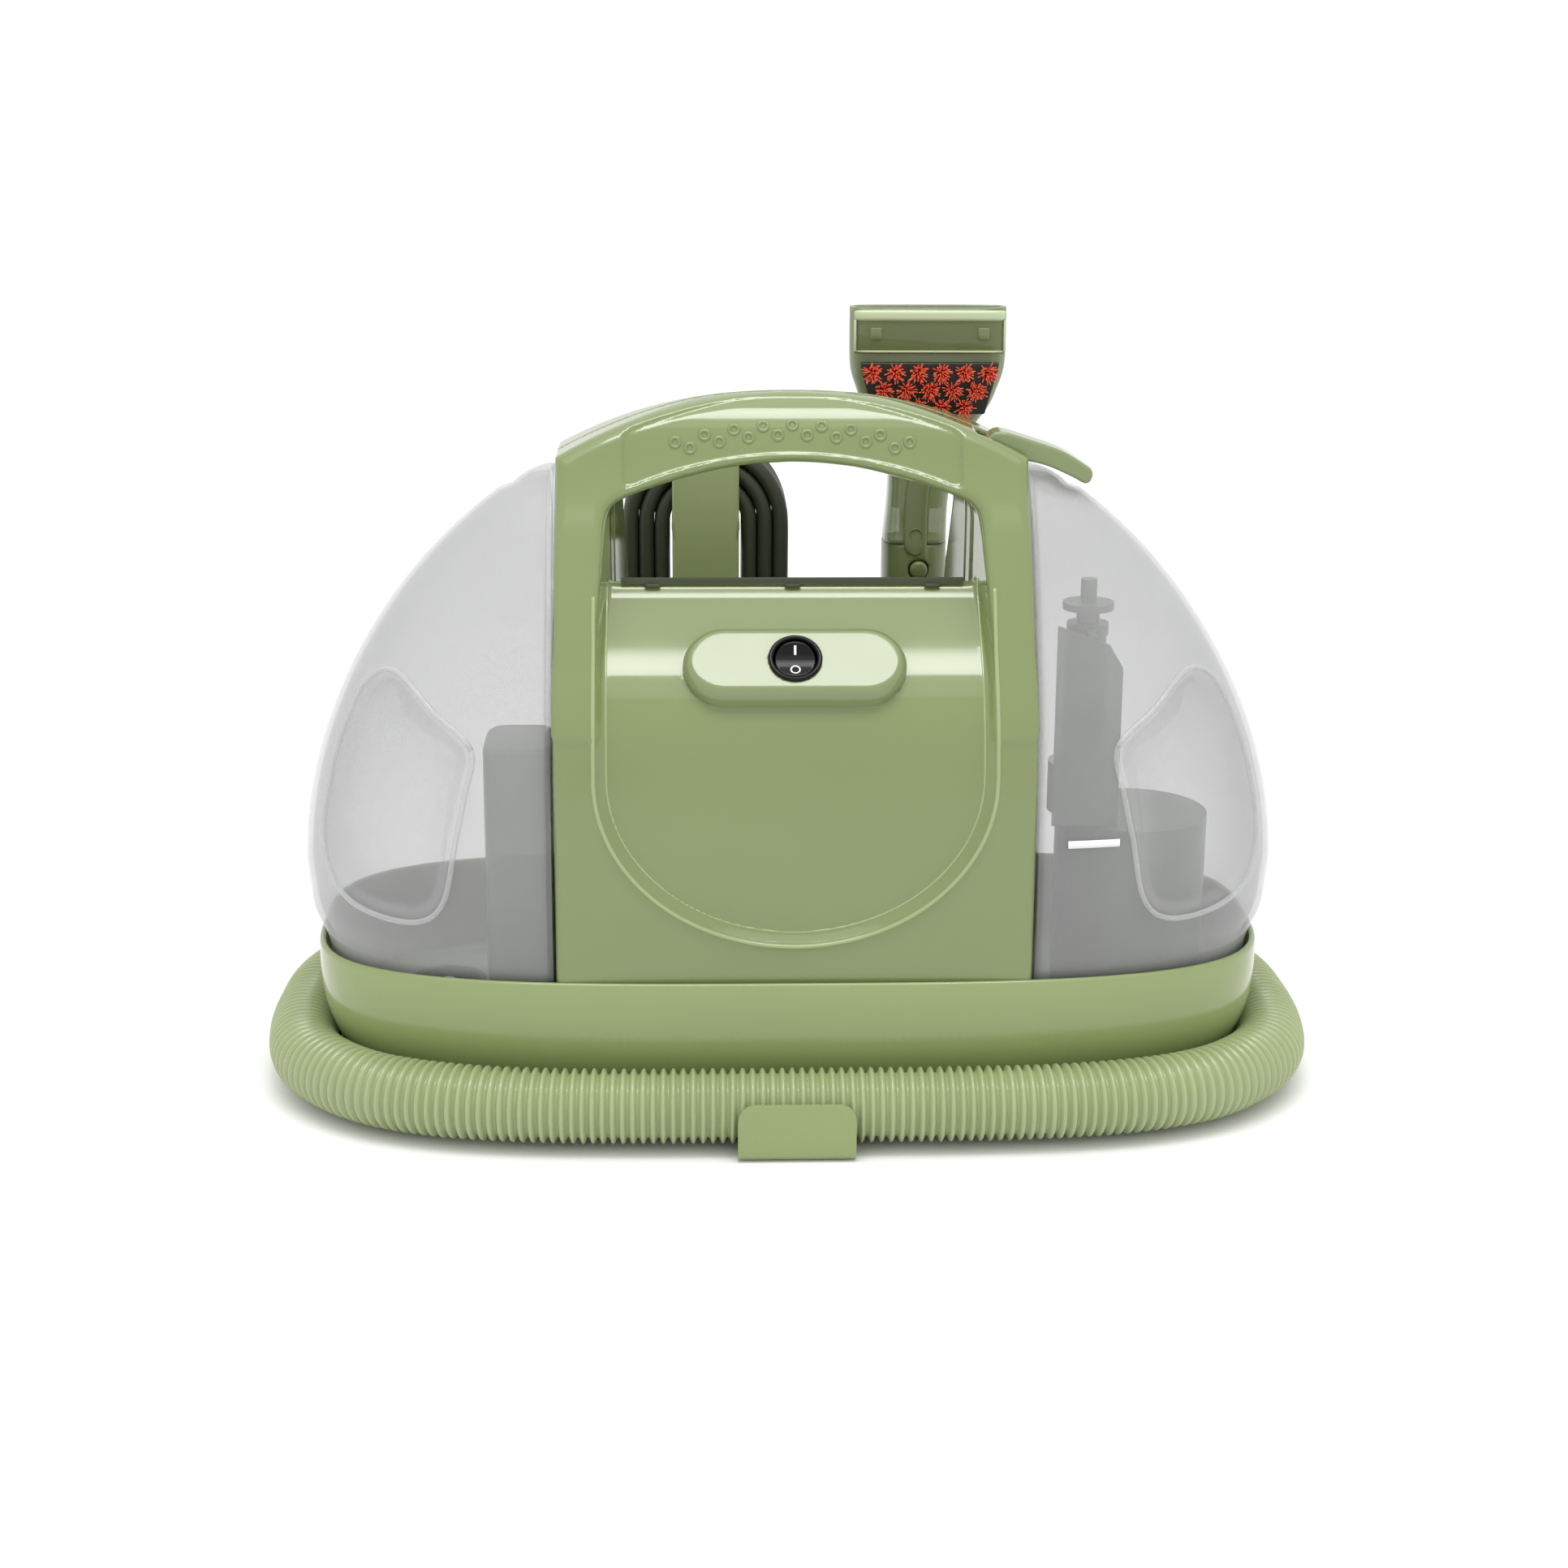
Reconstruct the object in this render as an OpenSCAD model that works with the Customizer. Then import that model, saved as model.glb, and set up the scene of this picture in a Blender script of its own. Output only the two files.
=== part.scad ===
// Portable carpet cleaner: a body with an arched handle between two clear tanks,
// on a low base that carries a corrugated hose round its foot.
// Millimetres, +X right, +Y back, +Z up, floor at z = 0.

/* [Base] */
// Width of the base over its rim
base_w = 406; // [400:1:410]
// Depth of the base over its rim
base_d = 180; // [177:1:181]
// Height of the rim above the floor
rim_z = 65; // [62:1:66]

/* [Body] */
// Width of the body between the tanks
body_w = 196; // [194:0.5:197]
// Height of the top of the handle arch
dome_top = 297; // [294:1:300]
// Clear width of the handle opening
grip_w = 154; // [140:2:156]

/* [Tanks] */
// Greatest width over both tanks
tanks_w = 414; // [408:1:418]
// Wall thickness of the tanks
tank_wall = 2.5; // [2:0.1:3.5]

/* [Hose and cord] */
// Outside diameter of the hose
hose_d = 30.8; // [26:0.2:30.8]
// Diameter of the mains cord
cord_d = 7; // [5:0.5:8]

/* [Switch] */
// Width of the raised plate round the switch
plate_w = 91; // [80:1:100]
// Outside diameter of the switch bezel
bezel_d = 22; // [20:0.5:24]

/* [Hidden] */
$fn = 48;
ba = base_w / 2;
bb = base_d / 2;
plan_n = 3.4;
deck_z = 20;
ta = tanks_w / 2;
side_x = 99.2;
dome_h = dome_top - 100;
dome_n = 1.9;
hose_r = hose_d / 2;
wand_x = 60;
wand_y = 92;
tool_x = 64.4;
wrap_x = -35.4;
latch_p = [86, -8, 271];
switch_p = [0, -62.5, 193.2];
switch_tilt = 43;
// height of the rocker's pivot above the body, in the switch's own frame
rocker_pivot = 2;
// greatest radius of the strain relief
relief_r = 7.5;
// heights of the two posts that the cord is wound round
post_z = [122, 224];
// radius of those posts
post_r = 15.4;
// route of the hose centre line, from the rear port round the base to the wand
hose_route = [
  [12, 104.5, 17.8], [-30, 104.5, 17.8], [-80, 103.8, 17.8], [-120, 101, 17.8],
  [-152, 94, 17.8], [-178, 81, 17.8], [-197.4, 63.4, 17.8], [-208.4, 37.1, 17.8],
  [-211.2, 8, 17.8], [-210.8, -20, 17.8], [-205.7, -47.1, 17.8], [-192.4, -68, 17.8],
  [-172, -85, 17.8], [-144, -96, 17.8], [-110, -102, 17.8], [-70, -104.2, 17.8],
  [-24, -104.5, 17.8], [24, -104.5, 17.8], [70, -104.2, 17.8], [110, -102, 17.8],
  [144, -96, 17.8], [172, -85, 17.8], [192.4, -68, 17.8], [205.7, -47.1, 17.8],
  [210.8, -20, 17.8], [211.2, 8, 17.8], [208.4, 37.1, 17.8], [197.4, 63.4, 17.8],
  [178, 81, 17.8], [154, 94, 18], [130, 101, 19.5], [108, 104, 23.5],
  [88, 105.4, 32], [72, 104.2, 46], [63, 98, 62], [60, 93, 80]
];
// route of the mains cord from its strain relief to the wound cord
lead_route = [
  [-80, 96, 60], [-80, 104, 60.6], [-80, 112, 63.6], [-79.6, 118.4, 69.4],
  [-78.8, 121.6, 77.5], [-77.4, 122.4, 87], [-75.2, 119.6, 98], [-72.6, 113.4, 110],
  [-70.4, 106.6, 122], [-69.4, 102.4, 134], [-69.2, 101.2, 146]
];
// route of the mains cord from the wound cord to its plug
tail_route = [
  [-38, 79, 88], [-45, 80, 86.4], [-50.4, 84.6, 82.8], [-52.6, 92, 80.4],
  [-52.2, 102, 79.8], [-49, 111, 79.8], [-44, 118.8, 84], [-39.6, 123, 92.6],
  [-37, 124.6, 103], [-35.8, 123.8, 117], [-35.4, 123, 132]
];
supply_route = [
  [-150, 0, 19], [-150, 0, 15], [-146, 0, 12.2], [-138, 0, 12], [-60, -12, 12],
  [30, -28, 12], [48, -30, 12.3], [54, -30, 15], [55, -30, 20.5]
];
spray_route = [
  [80.3, -30, 50], [84.5, -30, 50.2], [88, -25, 51], [89.6, -14, 52], [89.8, 20, 52.4],
  [88.4, 46, 52.4], [82, 57.4, 51], [70, 60.4, 46], [56, 60.4, 38], [47, 60.4, 30],
  [44.4, 60.4, 24.6], [44, 60.4, 20.6]
];

function spow(v, p) = sign(v) * pow(abs(v), p);
function se(a, b, n, t) = [a * spow(cos(t), 2 / n), b * spow(sin(t), 2 / n)];
function oval(a, b, n, z, k) =
  [for (i = [0:k - 1]) let (p = se(a, b, n, 360 * (i + 0.5) / k)) [p[0], p[1], z]];
function dome_x(z) =
  z <= 100 ? ta : ta * pow(1 - pow((z - 100) / dome_h, dome_n), 1 / dome_n);
function dome_z(x) = 100 + dome_h * pow(1 - pow(abs(x) / ta, dome_n), 1 / dome_n);
function tank_b(z) = lookup(z, [
  [27, 79], [34, 81], [45, 82.5], [64, 85.6], [80, 88], [100, 88.5], [120, 88],
  [140, 85.5], [160, 80.5], [180, 73.5], [200, 64], [215, 55.5], [230, 46.5],
  [245, 37.5], [256, 29], [264, 20]
]);
function tank_a(z) = z < 100
  ? lookup(z, [[27, 186], [34, 190], [45, 195], [64, 198.6], [74, 202], [82, ta - 2],
      [100, ta]])
  : min(dome_x(z), lookup(z, [[100, 300], [256, 118], [262, 111], [264, 105]]));
function tank_n(z) = lookup(z, [[100, 3.4], [180, 3.1], [230, 2.7], [264, 2.4]]);
// one ring of a tank: part of the plan outline outside the flat inner wall
function tank_ring(z, o, k) =
  let (a = tank_a(z) - o, b = tank_b(z) - o, n = tank_n(z), x0 = side_x + o)
  let (t0 = acos(pow(x0 / a, n / 2)))
  [for (i = [0:k - 1])
    let (p = se(a, b, n, -t0 + 2 * t0 * i / (k - 1))) [p[0], p[1], z]];
function unit(v) = v / norm(v);
function tangent(p, i) = unit(p[min(i + 1, len(p) - 1)] - p[max(i - 1, 0)]);
// sideways direction at each point of a route, carried along it without twist
function sides_of(p, i, s) = i == len(p) ? [] :
  let (t = tangent(p, i), flat = unit(s - (s * t) * t))
  concat([flat], sides_of(p, i + 1, flat));
// points of a route made finer by cubic blending
function blend(p, m) = [
  for (i = [0:len(p) - 2]) for (j = [0:m - 1])
    let (u = j / m, a = p[max(i - 1, 0)], b = p[i], c = p[i + 1])
    let (d = p[min(i + 2, len(p) - 1)])
    0.5 * (2 * b + (c - a) * u + (2 * a - 5 * b + 4 * c - d) * u * u
      + (3 * b - a - 3 * c + d) * u * u * u),
  p[len(p) - 1]
];

// closed solid through a stack of rings with the same number of points
module loft(rings) {
  n = len(rings[0]);
  m = len(rings);
  pts = [for (r = rings) for (p = r) p];
  sides = [for (k = [0:m - 2]) for (i = [0:n - 1])
    let (a = k * n + i, b = k * n + (i + 1) % n)
    each [[a, a + n, b + n], [a, b + n, b]]];
  low = [for (i = [1:n - 2]) [0, i, i + 1]];
  e = (m - 1) * n;
  high = [for (i = [1:n - 2]) [e, e + i + 1, e + i]];
  polyhedron(points = pts, faces = concat(sides, low, high), convexity = 6);
}

// round tube swept along a route
module sweep(route, r, k = 10) {
  start = tangent(route, 0);
  side = sides_of(route, 0, abs(start[2]) > 0.9 ? [1, 0, 0] : cross(start, [0, 0, 1]));
  rings = [for (i = [0:len(route) - 1])
    let (up = cross(side[i], tangent(route, i)))
    [for (j = [0:k - 1]) route[i] + r * (cos(360 * j / k) * side[i]
      + sin(360 * j / k) * up)]];
  loft(rings);
}

module stadium(w, h) {
  square([w - h, h], center = true);
  translate([-(w - h) / 2, 0]) circle(h / 2);
  translate([(w - h) / 2, 0]) circle(h / 2);
}

module ring(r1, r2, h) {
  difference() {
    cylinder(r = r1, h = h);
    translate([0, 0, -1]) cylinder(r = r2, h = h + 2);
  }
}

// 2D outline in y, z carried along x
module along_x(w) {
  rotate([90, 0, 90]) linear_extrude(w, center = true) children();
}

// 2D outline in x, z carried along y
module along_y(y0, y1) {
  translate([0, y1, 0]) rotate([90, 0, 0]) linear_extrude(y1 - y0) children();
}

// frame of the tilted switch: local z is the plate's outward normal
module at_switch() {
  translate(switch_p) rotate([switch_tilt, 0, 0]) children();
}

// ---------- base ----------
module base_tub() color([0.62, 0.68, 0.46]) difference() {
  loft([
    oval(ba - 26, bb - 14, plan_n, 5, 56), oval(ba - 18, bb - 8, plan_n, 10, 56),
    oval(ba - 10.5, bb - 3.4, plan_n, 17, 56), oval(ba - 5, bb - 1.2, plan_n, 28, 56),
    oval(ba - 1.2, bb, plan_n, 40, 56), oval(ba, bb, plan_n, rim_z, 56),
    oval(ba - 3, bb - 3, plan_n, rim_z, 56), oval(ba - 4.5, bb - 3.4, plan_n, 40, 56),
    oval(ba - 8.5, bb - 4.6, plan_n, 28, 56), oval(ba - 14, bb - 7, plan_n, deck_z, 56)
  ]);
  translate([0, 0, 3]) linear_extrude(14)
    polygon([for (p = oval(ba - 34, bb - 22, plan_n, 0, 40)) [p[0], p[1]]]);
  translate([-150, 0, 10]) cylinder(r = 5, h = 20);
  translate([55, -30, 10]) cylinder(r = 5, h = 20);
  translate([44, 100, 17.8]) rotate([90, 0, 0]) cylinder(r = 9.3, h = 26);
  // notch that the strain relief of the mains cord passes through
  translate([-80, 80, 60]) rotate([-90, 0, 0]) cylinder(r = relief_r + 0.4, h = 16);
  translate([-80 - relief_r - 0.4, 80, 60]) cube([2 * relief_r + 0.8, 16, 10]);
  // slot in the rim that the hose rises through
  translate([44, 78, 36]) cube([48, 20, 40]);
}

module base_plate() color([0.25, 0.27, 0.24]) difference() {
  translate([0, 0, 5]) linear_extrude(2.5)
    polygon([for (p = oval(ba - 34.6, bb - 22.6, plan_n, 0, 40)) [p[0], p[1]]]);
  for (x = [-120, 0, 120]) for (y = [-50, 50])
    translate([x, y, 0]) cylinder(r = 2.2, h = 20);
}

module rubber_feet() color([0.12, 0.12, 0.12])
  for (x = [-140, 140]) for (y = [-38, 38])
    translate([x, y, 0]) cylinder(r1 = 8, r2 = 9.5, h = 5);

module base_screws() color([0.7, 0.7, 0.7])
  for (x = [-120, 0, 120]) for (y = [-50, 50]) translate([x, y, 0]) {
    translate([0, 0, 3.4]) cylinder(r = 4, h = 1.6);
    translate([0, 0, 4.8]) cylinder(r = 2, h = 9);
  }

module hose_clip() {
  difference() {
    along_x(48) polygon([
      [-122.6, 0.3], [-66, 0.3], [-66, 5], [-72, 5], [-74, 2.2], [-120.4, 2.2],
      [-120.4, 25], [-122.6, 25]
    ]);
    for (s = [-1, 1]) translate([s * 24, -121, 25]) rotate([0, 45, 0])
      cube([10, 12, 10], center = true);
  }
}
module front_hose_clip() color([0.6, 0.66, 0.44]) hose_clip();
module rear_hose_clip() color([0.6, 0.66, 0.44])
  translate([-60, 0, 0]) rotate([0, 0, 180]) hose_clip();

// ---------- body ----------
module low_side() polygon([
  [-78, 20.4], [-81, 34], [-82, rim_z + 0.5], [-86, rim_z + 0.5], [-86, 100], [-85, 130],
  [-83, 152], [-79.5, 168], [-74, 180], [-66, 191], [-56, 200.5], [-45, 209.5],
  [-33, 219], [-30, 221], [-26, 220], [0, 210], [30, 198], [56, 188], [64, 182],
  [68, 172], [69, 150], [69, 20.4]
]);
module arch_side() polygon([
  [-62, 190], [-50, 206], [-40, 217], [-33, 229], [-28, 242], [-25, 256],
  [-23, 270], [-18, 283], [-9, 294], [0, 299], [9, 295], [17, 287], [22, 274],
  [25, 258], [29, 240], [35, 222], [43, 205], [45, 190]
]);
module arch_front() polygon(concat(
  [[body_w / 2, 150]],
  [for (i = [0:24]) let (x = body_w / 2 * (1 - i / 12)) [x, dome_z(x)]],
  [[-body_w / 2, 150]]
));
module opening_front() polygon([
  [-grip_w / 2 + 2, 170], [grip_w / 2 - 2, 170], [grip_w / 2, 232],
  [grip_w / 2 - 1, 246], [grip_w / 2 - 6, 256], [52, 262], [28, 267], [0, 268.5],
  [-28, 267], [-52, 262], [-grip_w / 2 + 6, 256], [-grip_w / 2 + 1, 246],
  [-grip_w / 2, 232]
]);
module panel_front(o) polygon(concat(
  [[75.8 - o, 240], [-75.8 + o, 240]],
  [for (i = [0:16]) let (t = 180 + 180 * i / 16)
    [(75.8 - o) * cos(t), 152 + (66 - o) * sin(t)]]
));
module body_block(o) {
  difference() {
    along_x(body_w - 2 * o) offset(delta = -o) low_side();
    if (o == 0) difference() {
      along_y(-120, -20) panel_front(0);
      along_x(body_w) offset(delta = -2) low_side();
    }
  }
  intersection() {
    along_x(body_w - 2 * o) offset(delta = -o) arch_side();
    along_y(-90, 90) difference() {
      offset(delta = -o) arch_front();
      offset(delta = o) opening_front();
    }
  }
}
module shell() difference() {
  body_block(0);
  body_block(4.4);
  translate([0, 0, 10]) cube([body_w - 8.8, 128, 40], center = true);
  at_switch() translate([0, 0, -9]) linear_extrude(24) stadium(plate_w + 0.4, 34.4);
  translate([75, -16.5, 262]) cube([30, 17, 40]);
  translate([24, 69, 105]) cube([33, 12, 53], center = true);
  translate([-80, 69, 60]) rotate([90, 0, 0]) cylinder(r = 5.3, h = 16, center = true);
  translate([latch_p[0], -19, latch_p[2]]) rotate([-90, 0, 0]) cylinder(r = 2.02, h = 22);
  for (x = [-85, 85]) for (z = [90, 160])
    translate([x, 60, z]) rotate([-90, 0, 0]) cylinder(r = 2.1, h = 20);
}
module front_shell() color([0.66, 0.72, 0.5]) difference() {
  shell();
  translate([0, 100.05, 150]) cube([300, 200, 400], center = true);
}
module rear_shell() color([0.66, 0.72, 0.5]) difference() {
  shell();
  translate([0, -99.95, 150]) cube([300, 200, 400], center = true);
}
module shell_screws() color([0.7, 0.7, 0.7])
  for (x = [-85, 85]) for (z = [90, 160]) translate([x, 69, z]) rotate([-90, 0, 0]) {
    cylinder(r = 3.8, h = 1.6);
    translate([0, 0, -14]) cylinder(r = 1.9, h = 14.2);
  }
module switch_plate() color([0.72, 0.77, 0.58]) at_switch() difference() {
  translate([0, 0, -4]) linear_extrude(8) stadium(plate_w, 34);
  translate([0, 0, -10]) cylinder(d = bezel_d - 1.8, h = 30);
  translate([0, 0, 2.6]) cylinder(d = bezel_d + 0.6, h = 10);
}
module switch_bezel() color([0.06, 0.06, 0.06]) at_switch() difference() {
  union() {
    translate([0, 0, 2.7]) cylinder(d = bezel_d, h = 2.6);
    translate([0, 0, -8]) cylinder(d = bezel_d - 2.2, h = 11);
  }
  translate([0, 0, -9]) cylinder(r = 8.9, h = 20);
  translate([0, 0, rocker_pivot]) rotate([0, 90, 0])
    cylinder(r = 1.25, h = 24, center = true);
}
module switch_rocker() color([0.08, 0.08, 0.08]) at_switch() {
  rotate([7, 0, 0]) intersection() {
    translate([0, 0, -1]) cylinder(r = 8.1, h = 6);
    translate([0, 0, 13]) rotate([0, 90, 0]) difference() {
      cube([50, 40, 40], center = true);
      translate([-9.5, 0, 0]) cylinder(r = 18, h = 50, center = true);
    }
  }
  translate([0, 0, rocker_pivot]) rotate([0, 90, 0])
    cylinder(r = 1.2, h = 19.4, center = true);
}
module switch_body() color([0.1, 0.1, 0.1]) at_switch()
  translate([-8, -7, -24]) cube([16, 14, 15.2]);
module exhaust_grille() color([0.3, 0.33, 0.25]) difference() {
  translate([8, 67, 79]) cube([32, 3, 52]);
  for (i = [0:6]) translate([11, 60, 84 + i * 6.6]) cube([26, 20, 3]);
}

// ---------- suction motor and pump ----------
fan_p = [-35, -5];
module at_fan() { translate([fan_p[0], fan_p[1], 0]) children(); }
module fan_housing() color([0.2, 0.2, 0.2]) at_fan() difference() {
  translate([0, 0, 22]) cylinder(r = 50, h = 30);
  translate([0, 0, 24.5]) cylinder(r = 47.5, h = 25);
  cylinder(r = 14, h = 40);
  cylinder(r = 10, h = 80);
  translate([30, 18, 37]) cube([50, 20, 20], center = true);
}
module fan_impeller() color([0.8, 0.8, 0.78]) at_fan() difference() {
  union() {
    translate([0, 0, 42]) cylinder(r = 44, h = 2);
    translate([0, 0, 29]) cylinder(r = 9, h = 15);
    for (i = [0:8]) rotate([0, 0, i * 40]) translate([8, -1, 31]) cube([35, 2, 11.5]);
    translate([0, 0, 29.5]) ring(44, 17, 1.6);
  }
  cylinder(r = 4.05, h = 80);
}
module motor_housing() color([0.25, 0.25, 0.27]) at_fan() difference() {
  translate([0, 0, 52]) cylinder(r = 36, h = 65);
  translate([0, 0, 55]) cylinder(r = 33, h = 59);
  cylinder(r = 6, h = 60);
  cylinder(r = 4.6, h = 200);
  for (i = [0:5]) rotate([0, 0, i * 60]) translate([30, 0, 104])
    cube([20, 8, 10], center = true);
}
module motor_stator() color([0.6, 0.35, 0.2]) at_fan() translate([0, 0, 64]) ring(32.8, 22, 32);
module motor_armature() color([0.65, 0.4, 0.22]) at_fan() translate([0, 0, 66])
  ring(20.5, 4, 28);
module motor_shaft() color([0.75, 0.75, 0.77]) at_fan() translate([0, 0, 27])
  cylinder(r = 4, h = 96);
module vacuum_duct() color([0.2, 0.2, 0.2]) difference() {
  translate([22, 34, 24]) cube([66, 22, 24]);
  translate([20, 36, 26]) cube([80, 18, 20]);
}
module pump_body() color([0.15, 0.15, 0.16]) difference() {
  union() {
    translate([36, -45, 21]) cube([38, 30, 36]);
    translate([55, -30, 57]) cylinder(r = 13, h = 22);
    translate([73, -30, 50]) rotate([0, 90, 0]) cylinder(r = 4, h = 7);
  }
  translate([55, -30, 60]) cylinder(r = 8.5, h = 30);
}
module pump_plunger() color([0.75, 0.75, 0.77]) translate([55, -30, 66]) {
  cylinder(r = 4, h = 28);
  cylinder(r = 8, h = 3);
}
module pump_spring() color([0.6, 0.6, 0.62]) translate([55, -30, 69.2])
  rotate_extrude() translate([6.2, 0]) {
    for (i = [0:4]) translate([0, 1 + i * 2]) circle(0.8, $fn = 16);
    translate([-0.25, 1]) square([0.5, 8]);
  }
module supply_tube() color([0.85, 0.85, 0.8]) sweep(supply_route, 2.6, 8);
module spray_tube() color([0.85, 0.85, 0.8]) sweep(spray_route, 2.6, 8);
module formula_port_seal() color([0.1, 0.1, 0.1]) translate([-150, 0, deck_z]) ring(12, 6, 2);
module recovery_port_seal() color([0.1, 0.1, 0.1]) translate([150, 40, deck_z])
  ring(13, 9, 2);

// ---------- tanks ----------
tank_z = [27, 34, 45, 64, 69, 74, 82, 100, 120, 140, 160, 180, 200, 215, 230, 245, 256,
  261, 264];
module tank_skin() difference() {
  loft([for (z = tank_z) tank_ring(z, 0, 22)]);
  translate([0, 0, 0]) loft([for (z = [29.5, 45, 64, 74, 82, 100, 140, 180, 215, 245,
    256]) tank_ring(z, tank_wall, 16)]);
}
module formula_tank() color([0.7, 0.72, 0.7, 0.4]) mirror([1, 0, 0]) difference() {
  tank_skin();
  translate([150, 0, 20]) cylinder(r = 17.2, h = 16);
}
module fill_cap() color([0.3, 0.33, 0.25]) translate([-150, 0, 0]) difference() {
  union() {
    translate([0, 0, 22.6]) cylinder(r = 20, h = 4.2);
    translate([0, 0, 26]) cylinder(r = 16.8, h = 9);
  }
  cylinder(r = 3.4, h = 60);
  translate([0, 0, 29]) cylinder(r = 14, h = 20);
}
module cap_valve() color([0.8, 0.8, 0.8]) translate([-150, 0, 0]) {
  translate([0, 0, 22.8]) cylinder(r = 3, h = 12);
  translate([0, 0, 29.2]) cylinder(r = 7, h = 1.6);
}
module recovery_tank() color([0.7, 0.72, 0.7, 0.4]) difference() {
  tank_skin();
  translate([150, 40, 20]) cylinder(r = 9, h = 16);
  translate([150, -48, 20]) cylinder(r = 13.2, h = 16);
}
module recovery_stack() color([0.5, 0.55, 0.45, 0.6]) {
  difference() {
    translate([150, 0, 29.8]) cylinder(r = 33, h = 82);
    translate([150, 0, 32]) cylinder(r = 31, h = 77.8);
    translate([150, 40, 60]) cube([14, 30, 20], center = true);
  }
  difference() {
    translate([128, 0, 110]) cylinder(r = 9, h = 86);
    translate([128, 0, 112]) cylinder(r = 7, h = 82);
    translate([135, 0, 186]) cube([10, 10, 10], center = true);
  }
  translate([128, 0, 196]) cylinder(r = 5, h = 6);
  translate([128, 0, 202]) cylinder(r = 11, h = 3);
  translate([128, 0, 205]) cylinder(r = 3.5, h = 10);
}
module tank_baffle() color([0.5, 0.55, 0.45, 0.6]) {
  along_y(-26, -24) polygon([[112, 112.4], [140, 112.4], [140, 182], [134, 192], [112, 200]]);
  translate([126, -25, 187]) cube([4, 15.8, 8]);
}
module tank_float() color([0.9, 0.9, 0.88]) translate([128, 0, 112.4]) ring(15, 10, 22);
module drain_plug() color([0.3, 0.33, 0.25]) translate([150, -48, 0]) {
  translate([0, 0, 22.6]) cylinder(r = 16, h = 4.2);
  translate([0, 0, 26]) cylinder(r = 12.8, h = 6);
}
module tank_latch() color([0.62, 0.68, 0.46]) difference() {
  translate([0, -15, 0]) along_y(0, 14) polygon([
    [80.4, 274], [81.4, 278], [84, 280.4], [88, 280.4], [99, 277], [112, 272.5],
    [122, 266.8], [126, 261.8], [123.4, 260], [117, 265], [108, 268.2], [100, 270],
    [93, 269], [89.5, 266.6], [84, 266.6], [81, 269]
  ]);
  translate([latch_p[0], -30, latch_p[2]]) rotate([-90, 0, 0]) cylinder(r = 2.1, h = 60);
}
module latch_pin() color([0.75, 0.75, 0.77])
  translate([latch_p[0], -19, latch_p[2]]) rotate([-90, 0, 0]) cylinder(r = 2, h = 22);

// ---------- hose ----------
module hose_port_elbow() color([0.2, 0.22, 0.18]) difference() {
  union() {
    translate([44, 104, 17.8]) rotate([90, 0, 0]) cylinder(r = 9, h = 27.8);
    translate([56, 104.5, 17.8]) rotate([0, -90, 0]) cylinder(r = 11.5, h = 32.4);
  }
  translate([44, 104, 17.8]) rotate([90, 0, 0]) cylinder(r = 6.5, h = 40);
  translate([53, 104.5, 17.8]) rotate([0, -90, 0]) cylinder(r = 8, h = 40);
}
module hose() color([0.62, 0.7, 0.45]) sweep(blend(hose_route, 2), hose_r, 12);
module hose_cuff_machine() color([0.2, 0.22, 0.18]) translate([23.4, 104.5, 17.8])
  rotate([0, -90, 0]) difference() {
    cylinder(r1 = 13, r2 = 15.2, h = 11.2);
    translate([0, 0, -1]) cylinder(r = 8, h = 20);
  }
module hose_cuff_wand() color([0.2, 0.22, 0.18]) translate([60, 92.8, 80.2]) difference() {
  cylinder(r1 = 16, r2 = 14, h = 15.6);
  translate([0, 0, -1]) cylinder(r = 8, h = 20);
}

// ---------- wand and tool ----------
module wand_solid(o, z0, z1) loft([
  for (v = [[0, 14.5, 15], [0.2, 14, 16.5], [0.55, 13.8, 17.5], [0.85, 14.6, 18],
      [1, 14.6, 16.5]])
    [for (p = oval(v[1] - o, v[2] - o, 2.8, z0 + (z1 - z0) * v[0], 32))
      p + [wand_x, wand_y, 0]]
]);
module wand_shell() difference() {
  wand_solid(0, 96, 214.4);
  wand_solid(2.6, 94, 210);
  translate([wand_x - 6, wand_y + 10, 118]) cube([12, 20, 52]);
  translate([wand_x + 1, wand_y - 10, 203]) rotate([90, 0, 0]) cylinder(r = 4.3, h = 20);
  translate([wand_x, wand_y, 205]) cylinder(r = 7.2, h = 20);
}
module wand_front() color([0.6, 0.68, 0.46]) difference() {
  wand_shell();
  translate([wand_x, wand_y + 50.05, 150]) cube([100, 100, 200], center = true);
}
module wand_rear() color([0.6, 0.68, 0.46]) difference() {
  wand_shell();
  translate([wand_x, wand_y - 49.95, 150]) cube([100, 100, 200], center = true);
}
module wand_trigger() color([0.15, 0.16, 0.14]) difference() {
  along_x_at(wand_x, 11) polygon([
    [102, 168], [107, 168], [115, 160], [119, 145], [118, 128], [114, 120],
    [112, 122], [114, 132], [113, 146], [108, 156], [102, 160]
  ]);
  translate([wand_x - 20, 104.5, 164]) rotate([0, 90, 0]) cylinder(r = 1.6, h = 40);
}
module along_x_at(x, w) { translate([x, 0, 0]) along_x(w) children(); }
module spray_valve() color([0.75, 0.75, 0.7]) translate([wand_x, 98, 120]) {
  cylinder(r = 4, h = 40);
  translate([0, 4, 16]) cube([6, 8, 8], center = true);
}
module lock_button() color([0.2, 0.22, 0.18])
  translate([wand_x + 1, 78, 203]) rotate([90, 0, 0]) {
    translate([0, 0, -1]) cylinder(r = 4, h = 7);
    translate([0, 0, -2.4]) cylinder(r = 5.1, h = 1.5);
  }
module wand_holder() color([0.3, 0.33, 0.25]) {
  translate([42, 69.1, 150]) cube([36, 3.4, 34]);
  translate([42, 72.4, 156]) cube([2.6, 26, 22]);
  translate([75.4, 72.4, 156]) cube([2.6, 26, 22]);
}
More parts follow.
